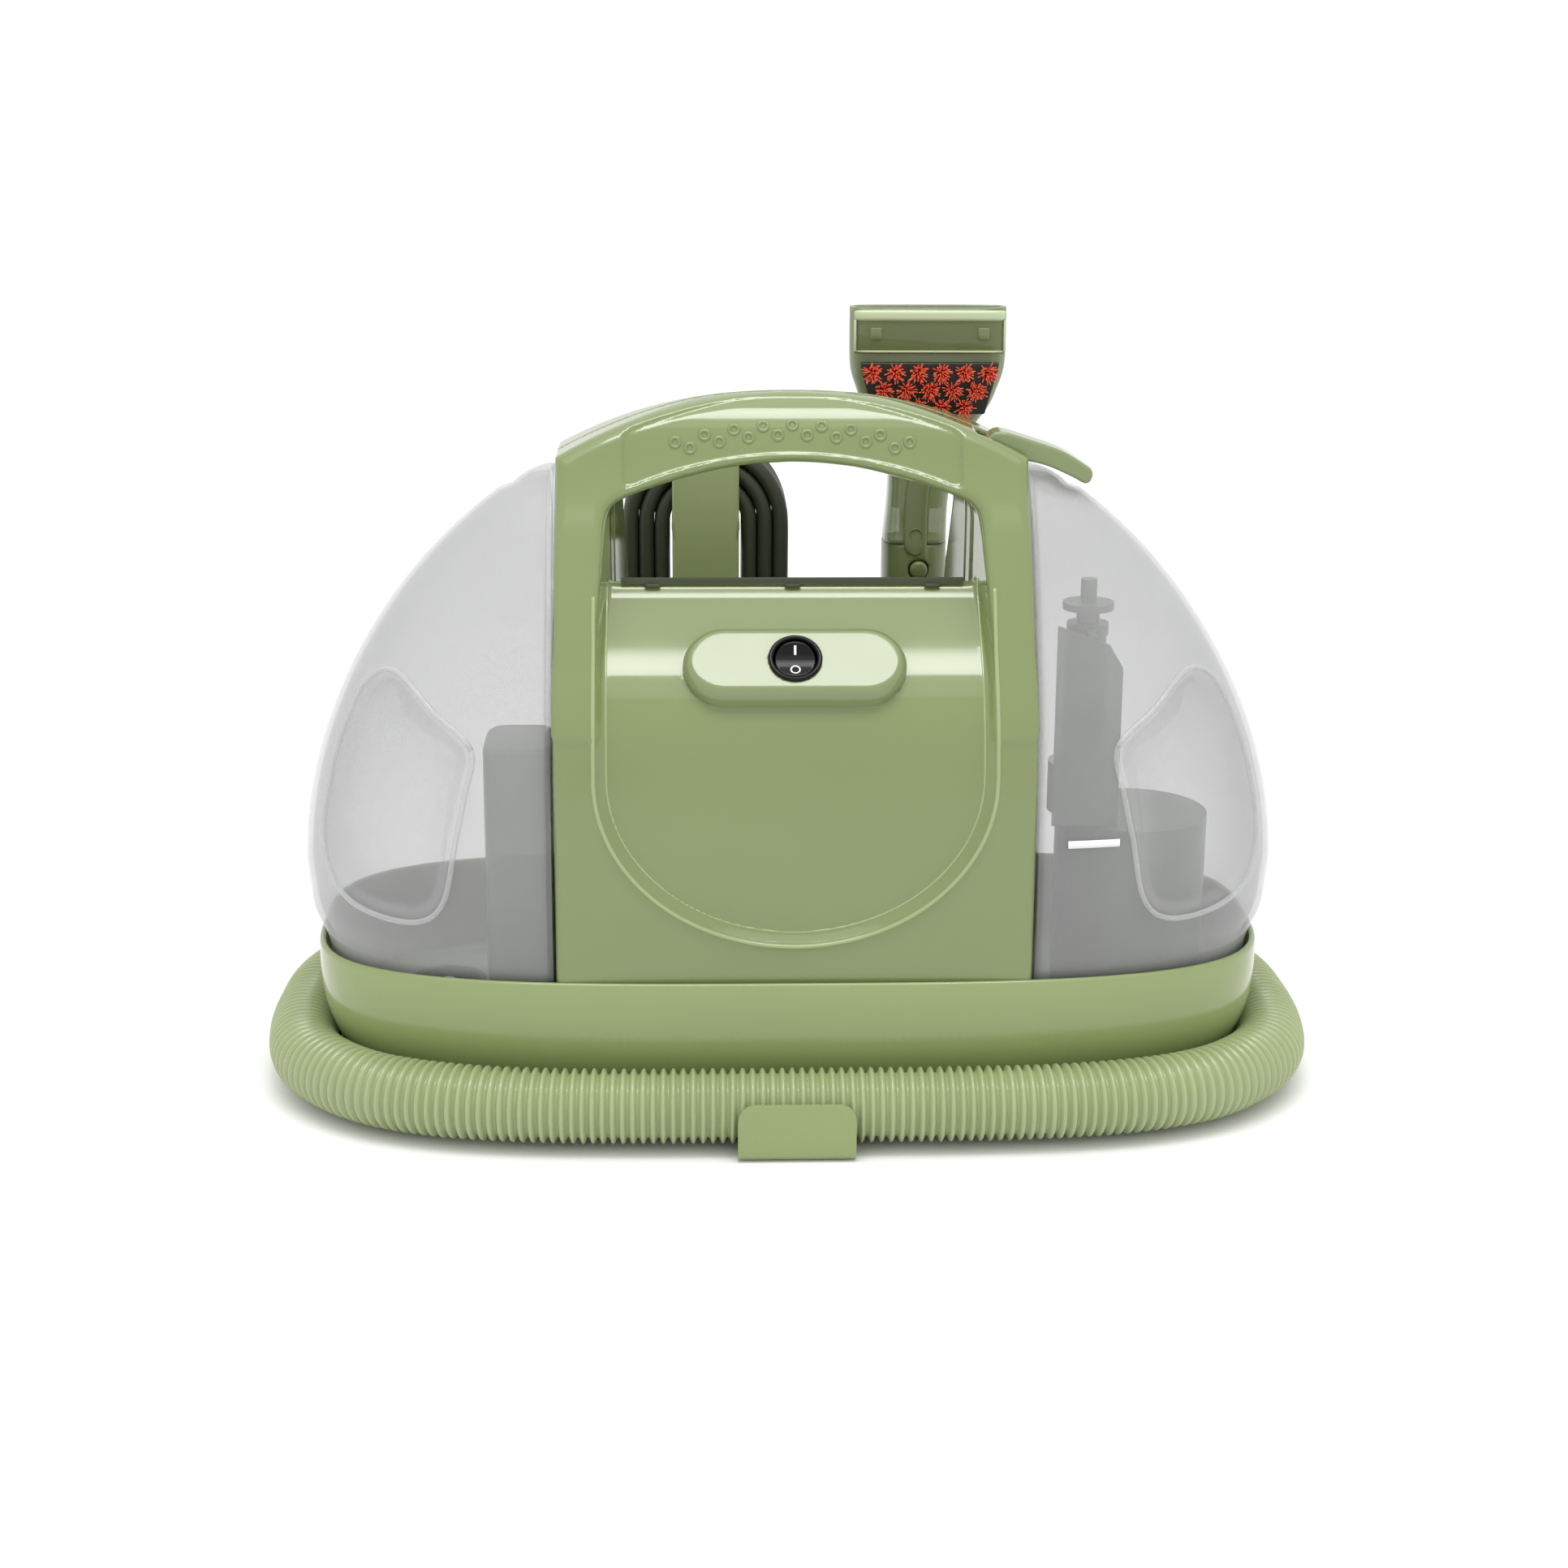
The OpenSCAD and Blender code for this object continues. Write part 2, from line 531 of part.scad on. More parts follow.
module tool_nozzle() color([0.55, 0.68, 0.4, 0.6]) difference() {
  loft([
    for (v = [[214.6, 14.6, 16.5, 60], [232, 14, 14, 61], [252, 15.5, 12.5, 62.5],
        [268, 21, 12.5, 63.6], [282, 29.5, 12.5, 64.2], [297, 35, 12, tool_x],
        [308, 35.2, 10, tool_x], [319.5, 35.2, 7, tool_x]])
      [for (p = oval(v[1], v[2], 3.4, v[0], 32)) p + [v[3], wand_y, 0]]
  ]);
  loft([
    for (v = [[230, 10, 10, 61], [252, 12.5, 9.5, 62.5], [268, 18, 9.5, 63.6],
        [282, 26.5, 9.5, 64.2], [297, 32, 9, tool_x], [308, 32.2, 7, tool_x],
        [322, 32.2, 4, tool_x]])
      [for (p = oval(v[1], v[2], 3.4, v[0], 32)) p + [v[3], wand_y, 0]]
  ]);
  translate([60, wand_y, 200]) cylinder(r = 7, h = 40);
}
module tool_window() color([0.8, 0.85, 0.75, 0.4]) difference() {
  translate([tool_x - 34, 78.4, 300]) cube([68, 1.8, 18]);
  for (s = [-1, 1]) translate([tool_x + s * 24, 70, 309]) rotate([-90, 0, 0])
    cylinder(r = 1.6, h = 20);
}
module brush_plate() color([0.1, 0.1, 0.1])
  along_y(76.2, 79.2) polygon([
    [tool_x - 31, 297], [tool_x + 31, 297], [tool_x + 30.6, 292], [tool_x + 24, 273],
    [tool_x - 24, 273], [tool_x - 30.6, 292]
  ]);
module bristles() color([0.85, 0.25, 0.15])
  for (r = [[293, 6], [284.5, 5], [276.5, 4]]) for (i = [0:r[1] - 1])
    translate([tool_x + (i - (r[1] - 1) / 2) * 10, 76.1, r[0]]) rotate([90, 0, 0])
      cylinder(r1 = 1.7, r2 = 2.1, h = 8, $fn = 16);
module spray_tip() color([0.3, 0.3, 0.3]) translate([60, wand_y, 215.5]) difference() {
  cylinder(r = 6.8, h = 12);
  translate([0, 0, -1]) cylinder(r = 4, h = 20);
}

// ---------- cord ----------
module cord_wrap() color([0.5, 0.57, 0.36]) {
  translate([wrap_x - 15, 70.4, 84]) cube([30, 4, 176]);
  for (z = post_z) translate([wrap_x, 70.6, z]) rotate([-90, 0, 0])
    cylinder(r = post_r, h = 41);
  translate([wrap_x - 8, 69.1, 100]) cube([16, 1.4, 60]);
  translate([wrap_x - 26, 111, 85]) cube([52, 3, 29]);
}
module cord_hook() color([0.5, 0.57, 0.36]) translate([wrap_x, 112, post_z[1]])
  rotate([-90, 0, 0]) {
    cylinder(r = 9, h = 3.4);
    translate([-12, -38, 0]) cube([24, 40, 3]);
  }
module coil_outline(w, z0, z1) {
  translate([wrap_x, z0 + w]) circle(w);
  translate([wrap_x, z1 - w]) circle(w);
  translate([wrap_x - w, z0 + w]) square([2 * w, z1 - z0 - 2 * w]);
}
module power_cord_coil() color([0.2, 0.22, 0.18]) along_y(75.2, 105.4) difference() {
  coil_outline(38, 84, 262);
  coil_outline(15.6, 106.4, 239.6);
}
module strain_relief() color([0.15, 0.16, 0.14]) translate([-80, 62, 60])
  rotate([-90, 0, 0]) {
    cylinder(r = 5, h = 8);
    translate([0, 0, 7.2]) cylinder(r1 = relief_r, r2 = 4.8, h = 26.6);
  }
module cord_lead() color([0.2, 0.22, 0.18])
  for (route = [lead_route, tail_route]) sweep(blend(route, 2), cord_d / 2, 10);
module plug_body() color([0.16, 0.17, 0.15]) {
  translate([wrap_x - 12, 114.6, 150]) cube([24, 17, 30]);
  translate([wrap_x, 123, 132]) cylinder(r1 = 4.6, r2 = 7.5, h = 18.2);
}
module plug_pins() color([0.8, 0.78, 0.7]) for (s = [-1, 1])
  translate([wrap_x + s * 6.35 - 0.8, 119.8, 180.1]) cube([1.6, 6.4, 17]);

base_tub();
base_plate();
rubber_feet();
base_screws();
front_hose_clip();
rear_hose_clip();
front_shell();
rear_shell();
shell_screws();
switch_plate();
switch_bezel();
switch_rocker();
switch_body();
exhaust_grille();
fan_housing();
fan_impeller();
motor_housing();
motor_stator();
motor_armature();
motor_shaft();
vacuum_duct();
pump_body();
pump_plunger();
pump_spring();
supply_tube();
spray_tube();
formula_port_seal();
recovery_port_seal();
formula_tank();
fill_cap();
cap_valve();
recovery_tank();
recovery_stack();
tank_baffle();
tank_float();
drain_plug();
tank_latch();
latch_pin();
hose_port_elbow();
hose();
hose_cuff_machine();
hose_cuff_wand();
wand_front();
wand_rear();
wand_trigger();
spray_valve();
lock_button();
wand_holder();
tool_nozzle();
tool_window();
brush_plate();
bristles();
spray_tip();
cord_wrap();
cord_hook();
strain_relief();
cord_lead();
power_cord_coil();
plug_body();
plug_pins();
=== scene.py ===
import math

import bmesh
import bpy
import numpy as np
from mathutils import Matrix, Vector


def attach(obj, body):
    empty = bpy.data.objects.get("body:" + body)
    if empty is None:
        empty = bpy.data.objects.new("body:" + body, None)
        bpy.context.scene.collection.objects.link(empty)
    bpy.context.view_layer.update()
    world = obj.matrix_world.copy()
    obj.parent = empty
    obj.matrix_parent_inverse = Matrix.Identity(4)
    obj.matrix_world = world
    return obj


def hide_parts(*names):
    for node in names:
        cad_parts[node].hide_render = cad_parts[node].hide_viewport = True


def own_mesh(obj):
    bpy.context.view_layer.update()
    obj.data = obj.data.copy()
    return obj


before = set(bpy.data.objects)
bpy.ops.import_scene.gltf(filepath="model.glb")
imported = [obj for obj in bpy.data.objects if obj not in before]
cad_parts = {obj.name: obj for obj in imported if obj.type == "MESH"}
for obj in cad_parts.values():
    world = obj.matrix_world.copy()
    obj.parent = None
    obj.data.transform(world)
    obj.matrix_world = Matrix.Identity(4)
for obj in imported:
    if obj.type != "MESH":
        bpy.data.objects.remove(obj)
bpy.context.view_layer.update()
MM = 0.001
rng = np.random.default_rng(7)
scene = bpy.context.scene
scene.view_settings.view_transform = "Standard"


# ---------------------------------------------------------------- materials
def lin(r, g, b):
    """A linear colour from display values of 0 to 255."""
    return tuple(((c / 255 + 0.055) / 1.055) ** 2.4 if c > 10 else c / 3294 for c in (r, g, b))


DRIFT_SCALE, GLOSS_SCALE = 14, 60
GRAIN_DEPTH = 0.0003
COAT_ROUGH = 0.08


def plastic(name, col, rough=0.3, vary=0.05, grain=0.0, grain_size=0.6, coat=0.0, spec=0.5,
            alpha=None, edge_alpha=None, metal=0.0):
    """A moulded material: colour drifts slightly, gloss varies, and fine grain of a size in mm
    comes from a bump. With alpha it is clear when faced and denser towards its edges."""
    m = bpy.data.materials.new(name)
    m.use_nodes = True
    n, l = m.node_tree.nodes, m.node_tree.links
    n.clear()
    out = n.new("ShaderNodeOutputMaterial")
    b = n.new("ShaderNodeBsdfPrincipled")
    l.new(b.outputs[0], out.inputs[0])
    tc = n.new("ShaderNodeTexCoord")
    drift = n.new("ShaderNodeTexNoise")
    drift.inputs["Scale"].default_value = DRIFT_SCALE
    drift.inputs["Detail"].default_value = 3
    l.new(tc.outputs["Object"], drift.inputs["Vector"])
    tint = n.new("ShaderNodeValToRGB")
    dull, bright = tint.color_ramp.elements[0], tint.color_ramp.elements[1]
    dull.position, bright.position = 0.3, 0.7
    dull.color = (*[c * (1 - vary) for c in col], 1)
    bright.color = (*[min(1, c * (1 + vary)) for c in col], 1)
    l.new(drift.outputs["Fac"], tint.inputs[0])
    l.new(tint.outputs[0], b.inputs["Base Color"])
    gloss = n.new("ShaderNodeMapRange")
    gloss.inputs["To Min"].default_value = max(0.02, rough - 0.04)
    gloss.inputs["To Max"].default_value = rough + 0.05
    wear = n.new("ShaderNodeTexNoise")
    wear.inputs["Scale"].default_value = GLOSS_SCALE
    wear.inputs["Detail"].default_value = 4
    l.new(tc.outputs["Object"], wear.inputs["Vector"])
    l.new(wear.outputs["Fac"], gloss.inputs["Value"])
    l.new(gloss.outputs[0], b.inputs["Roughness"])
    if grain:
        fine = n.new("ShaderNodeTexNoise")
        fine.inputs["Scale"].default_value = 1000 / grain_size
        fine.inputs["Detail"].default_value = 2
        l.new(tc.outputs["Object"], fine.inputs["Vector"])
        bump = n.new("ShaderNodeBump")
        bump.inputs["Strength"].default_value = grain
        bump.inputs["Distance"].default_value = GRAIN_DEPTH
        l.new(fine.outputs["Fac"], bump.inputs["Height"])
        l.new(bump.outputs[0], b.inputs["Normal"])
    b.inputs["Coat Weight"].default_value = coat
    b.inputs["Coat Roughness"].default_value = COAT_ROUGH
    b.inputs["Specular IOR Level"].default_value = spec
    b.inputs["Metallic"].default_value = metal
    if alpha is not None:
        facing = n.new("ShaderNodeLayerWeight")
        facing.inputs["Blend"].default_value = 0.35
        dense = n.new("ShaderNodeMapRange")
        dense.inputs["To Min"].default_value = alpha
        dense.inputs["To Max"].default_value = edge_alpha or min(1, alpha + 0.4)
        l.new(facing.outputs["Facing"], dense.inputs["Value"])
        l.new(dense.outputs[0], b.inputs["Alpha"])
    return m


GREEN = lin(120, 133, 83)
M = {
    "body": plastic("body_plastic", GREEN, 0.13, 0.02, 0.02, 0.5, coat=0.5),
    "base": plastic("base_plastic", lin(137, 151, 97), 0.17, 0.02, 0.02, 0.5, coat=0.4),
    # the panel frame's ridges: a lighter green than the body, a painted highlight
    "rim": plastic("body_rim_highlight", lin(150, 162, 114), 0.13, 0.02, coat=0.5),
    "pad": plastic("pad_plastic", lin(124, 136, 92), 0.14, 0.02, 0.02, 0.5, coat=0.25),
    "hose": plastic("hose_plastic", lin(156, 168, 122), 0.24, 0.04, 0.05, 0.8, coat=0.15),
    "wrap": plastic("wrap_plastic", lin(144, 156, 108), 0.35, 0.03, 0.05, 0.6),
    "wand": plastic("wand_plastic", lin(104, 114, 74), 0.3, 0.03, 0.05, 0.6, coat=0.1),
    "cord": plastic("cord_jacket", lin(52, 55, 41), 0.45, 0.12, 0.25, 1.2),
    "plug": plastic("plug_plastic", lin(52, 55, 44), 0.42, 0.06, 0.2, 0.9),
    "black": plastic("switch_black", (0.005, 0.004, 0.004), 0.16, 0.1, 0.02, 0.5, spec=0.2),
    "mark": plastic("switch_mark", (0.8, 0.8, 0.78), 0.4, 0.02),
    "dark": plastic("dark_plastic", (0.03, 0.034, 0.026), 0.42, 0.1, 0.2, 0.9),
    "gap": plastic("seam_shadow", (0.05, 0.06, 0.035), 0.7, 0.1),
    "rubber": plastic("rubber", (0.018, 0.018, 0.017), 0.62, 0.15, 0.35, 1.0),
    "steel": plastic("steel", (0.55, 0.55, 0.56), 0.3, 0.05, 0.1, 0.5, metal=1.0),
    "brass": plastic("pin_brass", (0.72, 0.6, 0.32), 0.25, 0.05, 0.05, 0.5, metal=1.0),
    "iron": plastic("iron_copper", (0.28, 0.13, 0.06), 0.45, 0.3, 0.4, 1.5, metal=0.8),
    "alloy": plastic("cast_alloy", (0.6, 0.6, 0.6), 0.38, 0.08, 0.2, 0.8, metal=1.0),
    "white": plastic("white_plastic", (0.74, 0.74, 0.72), 0.35, 0.03, 0.05, 0.6),
    "tube": plastic("clear_tube", (0.7, 0.72, 0.66), 0.25, 0.04, alpha=0.5),
    "tank": plastic("tank_smoke", (0.5, 0.505, 0.505), 0.08, 0.03, spec=0.7, alpha=0.24, edge_alpha=0.6),
    "lip": plastic("tank_lip", (0.62, 0.625, 0.625), 0.08, 0.03, spec=0.8, alpha=0.3, edge_alpha=0.8),
    "inner": plastic("tank_parts", lin(114, 123, 104), 0.3, 0.05, alpha=0.72, edge_alpha=0.92),
    "level": plastic("level_mark", (0.82, 0.82, 0.82), 0.5, 0.02),
    "tool": plastic("tool_clear", lin(128, 140, 94), 0.14, 0.04, spec=0.6, alpha=0.7, edge_alpha=0.95),
    "window": plastic("tool_window", lin(112, 124, 78), 0.08, 0.03, spec=0.6, alpha=0.6, edge_alpha=0.9),
    # the tool's lip frame: opaque pale green, a painted highlight of the clear plastic's shining edges
    "clear": plastic("tool_edge_highlight", lin(184, 196, 156), 0.1, 0.03, coat=0.4),
    "brush": plastic("brush_dark", (0.012, 0.011, 0.008), 0.4, 0.1, 0.2, 0.8),
    "bristle": plastic("bristle_nylon", lin(255, 112, 80), 0.4, 0.12),
}


# ---------------------------------------------------------------- mesh helpers
def obj_from(name, verts, faces, mat, body="main", smooth=True, replace=(), slot=None):
    """A mesh object from points in mm, riding on a body and standing for the nodes it replaces."""
    me = bpy.data.meshes.new(name)
    me.from_pydata([tuple(v) for v in np.asarray(verts) * MM], [], faces)
    me.update()
    o = bpy.data.objects.new(name, me)
    scene.collection.objects.link(o)
    me.materials.append(mat)
    if smooth:
        me.polygons.foreach_set("use_smooth", [True] * len(me.polygons))
    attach(o, body)
    if replace:
        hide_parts(*replace)
    return o


def loft(rings, caps=(True, True), closed=True):
    """Vertices and quads through rings of equal point counts."""
    r = np.asarray(rings, float)
    m, n = r.shape[:2]
    verts = r.reshape(-1, 3)
    faces = []
    for k in range(m - 1):
        a = k * n
        for i in range(n if closed else n - 1):
            j = (i + 1) % n
            faces.append((a + i, a + j, a + n + j, a + n + i))
    if caps[0]:
        faces.append(tuple(range(n - 1, -1, -1)))
    if caps[1]:
        faces.append(tuple((m - 1) * n + i for i in range(n)))
    return verts, faces


def join(parts):
    """One vertex and face list from several."""
    vs, fs, at = [], [], 0
    for v, f in parts:
        v = np.asarray(v, float)
        vs.append(v)
        fs += [tuple(i + at for i in q) for q in f]
        at += len(v)
    return np.concatenate(vs), fs


def superellipse(a, b, n, t):
    c, s = np.cos(t), np.sin(t)
    power = 2 / n
    return np.stack([a * np.sign(c) * np.abs(c) ** power, b * np.sign(s) * np.abs(s) ** power], -1)


def run(points):
    """How far along a line of points each one lies."""
    return np.concatenate([[0], np.cumsum(np.linalg.norm(np.diff(points, axis=0), axis=1))])


def oval(a, b, n, z, k=160, cx=0.0, cy=0.0):
    """Evenly spaced points of a superellipse at height z."""
    p = superellipse(a, b, n, np.linspace(0, 2 * np.pi, 1441))
    s = run(p)
    u = np.linspace(0, s[-1], k, endpoint=False)
    return np.stack([np.interp(u, s, p[:, 0]) + cx, np.interp(u, s, p[:, 1]) + cy, np.full(k, z)], -1)


def smooth_line(pts, step, closed=False):
    """Points of a Catmull-Rom curve through pts, about step apart."""
    p = np.asarray(pts, float)
    if closed:
        q = np.concatenate([p[-1:], p, p[:2]])
    else:
        q = np.concatenate([2 * p[:1] - p[1:2], p, 2 * p[-1:] - p[-2:-1]])
    res = []
    for i in range(1, len(q) - 2):
        a, b, c, d = q[i - 1], q[i], q[i + 1], q[i + 2]
        k = max(2, int(np.linalg.norm(c - b) / step))
        u = np.linspace(0, 1, k, endpoint=False)[:, None]
        square, cube = (2 * a - 5 * b + 4 * c - d) * u**2, (3 * b - a - 3 * c + d) * u**3
        res.append(0.5 * (2 * b + (c - a) * u + square + cube))
    if not closed:
        res.append(p[-1:])
    return np.concatenate(res)


def even(line, step):
    """The line with its points a whole fraction of its length apart, near step, and its length."""
    s = run(line)
    k = max(2, int(round(s[-1] / step)))
    u = np.linspace(0, s[-1], k + 1)
    return np.stack([np.interp(u, s, line[:, i]) for i in range(3)], -1), s[-1]


def frames(line):
    """Tangents and two cross directions carried along a line without twist."""
    t = np.gradient(line, axis=0)
    t /= np.linalg.norm(t, axis=1)[:, None]
    side = np.zeros_like(t)
    s = np.cross(t[0], [0, 0, 1.0])
    if np.linalg.norm(s) < 0.1:
        s = np.array([1.0, 0, 0])
    for i in range(len(t)):
        s = s - t[i] * (s @ t[i])
        s /= np.linalg.norm(s)
        side[i] = s
    return t, side, np.cross(side, t)


def tube(line, radii, k=12):
    t, s, u = frames(line)
    a = np.linspace(0, 2 * np.pi, k, endpoint=False)
    radii = np.broadcast_to(radii, (len(line),))
    cos, sin = np.cos(a)[None, :, None], np.sin(a)[None, :, None]
    rings = line[:, None] + radii[:, None, None] * (cos * s[:, None] - sin * u[:, None])
    return loft(rings[:, ::-1])


def turned(profile, centre, axis, k=64):
    """A solid of revolution: profile is (radius, height) pairs along axis from centre."""
    ax = np.array(axis, float)
    ax /= np.linalg.norm(ax)
    s = np.cross(ax, [0, 0, 1.0])
    s = np.array([1.0, 0, 0]) if np.linalg.norm(s) < 0.1 else s / np.linalg.norm(s)
    u = np.cross(ax, s)
    a = np.linspace(0, 2 * np.pi, k, endpoint=False)
    spoke = np.cos(a)[:, None] * s + np.sin(a)[:, None] * u
    return loft([np.array(centre) + ax * h + max(r, 0.01) * spoke for r, h in profile])


def bevel(o, width, segs):
    """Round an object's edges by width in mm."""
    b = o.modifiers.new("edge", "BEVEL")
    b.width = width * MM
    b.segments = segs
    b.limit_method = "ANGLE"
    return b


def bevelled(name, verts, faces, mat, width, segs=3, **kw):
    """A hard-surface piece whose sharper edges are rounded."""
    o = obj_from(name, verts, faces, mat, **kw)
    b = bevel(o, width, segs)
    b.angle_limit = math.radians(35)
    b.harden_normals = True
    o.modifiers.new("normals", "WEIGHTED_NORMAL").keep_sharp = True
    return o


def prism(outline, lo, hi):
    """A closed outline of x and z carried from y = lo to y = hi."""
    x, z = np.asarray(outline, float).T
    return loft([np.stack([x, np.full(len(x), y), z], -1) for y in (lo, hi)])


def fix_normals(o):
    """Turn every face of an object outwards."""
    bm = bmesh.new()
    bm.from_mesh(o.data)
    bmesh.ops.recalc_face_normals(bm, faces=bm.faces)
    bm.to_mesh(o.data)
    bm.free()


# ---------------------------------------------------------------- distance fields
def poly_sdf(p, poly):
    """Signed distance from points p to a closed 2D polygon, negative inside."""
    d = np.full(len(p), 1e9)
    inside = np.zeros(len(p), bool)
    a = np.asarray(poly, float)
    b = np.roll(a, -1, 0)
    for s, e in zip(a, b):
        v = e - s
        w = p - s
        t = np.clip(w @ v / (v @ v), 0, 1)
        d = np.minimum(d, ((w - t[:, None] * v) ** 2).sum(1))
        cross = (s[1] > p[:, 1]) != (e[1] > p[:, 1])
        with np.errstate(divide="ignore", invalid="ignore"):
            inside ^= cross & (p[:, 0] < (e[0] - s[0]) * (p[:, 1] - s[1]) / (e[1] - s[1]) + s[0])
    return np.where(inside, -1, 1) * np.sqrt(d)


def field(poly, lo, hi, h=1.0):
    """poly's signed distance sampled on a grid, as a quick function of two coordinates."""
    u = np.arange(lo[0], hi[0] + h, h)
    v = np.arange(lo[1], hi[1] + h, h)
    g = poly_sdf(np.stack(np.meshgrid(u, v, indexing="ij"), -1).reshape(-1, 2), poly)
    g = g.reshape(len(u), len(v))

    def look(a, b):
        i = np.clip((a - lo[0]) / h, 0, len(u) - 1.001)
        j = np.clip((b - lo[1]) / h, 0, len(v) - 1.001)
        i0, j0 = i.astype(int), j.astype(int)
        fi, fj = i - i0, j - j0
        return ((g[i0, j0] * (1 - fi) + g[i0 + 1, j0] * fi) * (1 - fj)
                + (g[i0, j0 + 1] * (1 - fi) + g[i0 + 1, j0 + 1] * fi) * fj)
    return look


def both(a, b, r):
    """Intersection with an edge rounded to radius r."""
    out = np.hypot(np.maximum(a + r, 0), np.maximum(b + r, 0))
    return np.minimum(np.maximum(a + r, b + r), 0) + out - r


def merge(a, b, k):
    """Union with a fillet of about k."""
    h = np.clip(0.5 + 0.5 * (b - a) / k, 0, 1)
    return b * (1 - h) + a * h - k * h * (1 - h)


def cut(a, b, k):
    """Take b out of a, with the edge eased by about k."""
    return -merge(-a, b, k)


def ramp(v, lo, hi):
    """0 below lo, 1 above hi and a smooth step between."""
    t = np.clip((v - lo) / (hi - lo), 0, 1)
    return t * t * (3 - 2 * t)


def skin(f, lo, hi, h):
    """Quad mesh of f's zero surface on a grid, with its points moved on to the surface."""
    ax = [np.arange(lo[i], hi[i] + h, h) for i in range(3)]
    shape = [len(a) for a in ax]
    g = np.empty(shape)
    for i in range(shape[0]):
        p = np.stack(np.meshgrid(ax[0][i : i + 1], ax[1], ax[2], indexing="ij"), -1).reshape(-1, 3)
        g[i] = f(p).reshape(shape[1:])
    s = g < 0
    c = [n - 1 for n in shape]
    tot = np.zeros((*c, 3))
    cnt = np.zeros(c)
    for axis in range(3):
        o = [k for k in range(3) if k != axis]
        sl0, sl1 = [slice(None)] * 3, [slice(None)] * 3
        sl0[axis], sl1[axis] = slice(0, -1), slice(1, None)
        g0, g1 = g[tuple(sl0)], g[tuple(sl1)]
        x = (g0 < 0) != (g1 < 0)
        t = np.where(x, g0 / np.where(x, g0 - g1, 1), 0)
        for da in (0, 1):
            for db in (0, 1):
                w = [slice(None)] * 3
                w[o[0]] = slice(da, da + c[o[0]])
                w[o[1]] = slice(db, db + c[o[1]])
                xx = x[tuple(w)]
                add = np.zeros((*c, 3))
                add[..., axis] = t[tuple(w)]
                add[..., o[0]] = da
                add[..., o[1]] = db
                tot += add * xx[..., None]
                cnt += xx
    live = cnt > 0
    ids = -np.ones(c, int)
    ids[live] = np.arange(live.sum())
    cell = np.argwhere(live)
    p = np.array([a[0] for a in ax]) + h * (cell + tot[live] / cnt[live][:, None])
    faces = []
    for axis in range(3):
        o = [k for k in range(3) if k != axis]
        sl0, sl1 = [slice(1, -1)] * 3, [slice(1, -1)] * 3
        sl0[axis], sl1[axis] = slice(0, -1), slice(1, None)
        a, b = s[tuple(sl0)], s[tuple(sl1)]
        w = np.argwhere(a != b)
        flip = a[a != b]
        w[:, o[0]] += 1
        w[:, o[1]] += 1
        e0, e1 = np.zeros(3, int), np.zeros(3, int)
        e0[o[0]], e1[o[1]] = 1, 1
        q = np.stack([ids[tuple(c.T)] for c in (w - e0 - e1, w - e1, w, w - e0)], -1)
        turn = flip if axis != 1 else ~flip
        q[~turn] = q[~turn][:, ::-1]
        faces.append(q[(q >= 0).all(1)])
    faces = np.concatenate(faces)
    e = 0.05
    for _ in range(4):
        d = f(p)
        n = np.stack([f(p + e * v) - f(p - e * v) for v in np.eye(3)], -1) / (2 * e)
        nn = np.maximum((n**2).sum(1), 0.2)
        move = -(d / nn)[:, None] * n
        size = np.linalg.norm(move, axis=1)[:, None]
        p = p + move * np.minimum(1, 0.6 * h / np.maximum(size, 1e-9))
    return p, [tuple(q) for q in faces.tolist()]


# ---------------------------------------------------------------- sizes shared with the CAD model
BA, BB, PN = 203.0, 90.0, 3.4  # the foot's half width, half depth and superellipse power
TA, DOME_Z, DH, DN = 207.0, 100.0, 197.0, 1.9  # the dome's half width, start, rise and power
SIDE = 99.2  # where a tank meets the body
SHELL_X, SHELL_WALL = 98.0, 3.2
HOSE_R, RING_PITCH, CORD_D = 15.4, 4.05, 7.0
WRAP_X, WAND_X, WAND_Y, TOOL_X = -35.4, 60.0, 92.0, 64.4
SWITCH = np.array([0, -62.5, 193.2])
TILT = math.radians(43)
# the hose lies in the same curve round both ends of the foot, from the back corner to the front
HOSE_END = [[178, 81], [197.4, 63.4], [208.4, 37.1], [211.2, 8], [210.8, -20], [205.7, -47.1], [192.4, -68],
            [172, -85], [144, -96], [110, -102], [70, -104.2], [24, -104.5]]
HOSE = ([[12, 104.5, 17.8], [-30, 104.5, 17.8], [-80, 103.8, 17.8], [-120, 101, 17.8], [-152, 94, 17.8]]
        + [[-x, y, 17.8] for x, y in HOSE_END] + [[x, y, 17.8] for x, y in HOSE_END[::-1]]
        + [[154, 94, 18], [130, 101, 19.5], [108, 104, 23.5], [88, 105.4, 32], [72, 104.2, 46],
           [63, 98, 62], [60, 93, 80]])
LEAD = [[-80, 96, 60], [-80, 104, 60.6], [-80, 112, 63.6], [-79.6, 118.4, 69.4],
        [-78.8, 121.6, 77.5], [-77.4, 122.4, 87], [-75.2, 119.6, 98], [-72.6, 113.4, 110],
        [-70.4, 106.6, 122], [-69.4, 102.4, 134], [-69.2, 101.2, 146]]
TAIL = [[-38, 79, 88], [-45, 80, 86.4], [-50.4, 84.6, 82.8], [-52.6, 92, 80.4],
        [-52.2, 102, 79.8], [-49, 111, 79.8], [-44, 118.8, 84], [-39.6, 123, 92.6],
        [-37, 124.6, 103], [-35.8, 123.8, 117], [-35.4, 123, 132]]
POST_Z, POST_R = (122.0, 224.0), 15.4
LEVEL_X, LEVEL_Z = (111.0, 132.5), 122.6


def dome_z(x):
    """Height of the dome that tanks and handle share."""
    return DOME_Z + DH * (1 - (np.abs(x) / TA) ** DN) ** (1 / DN)


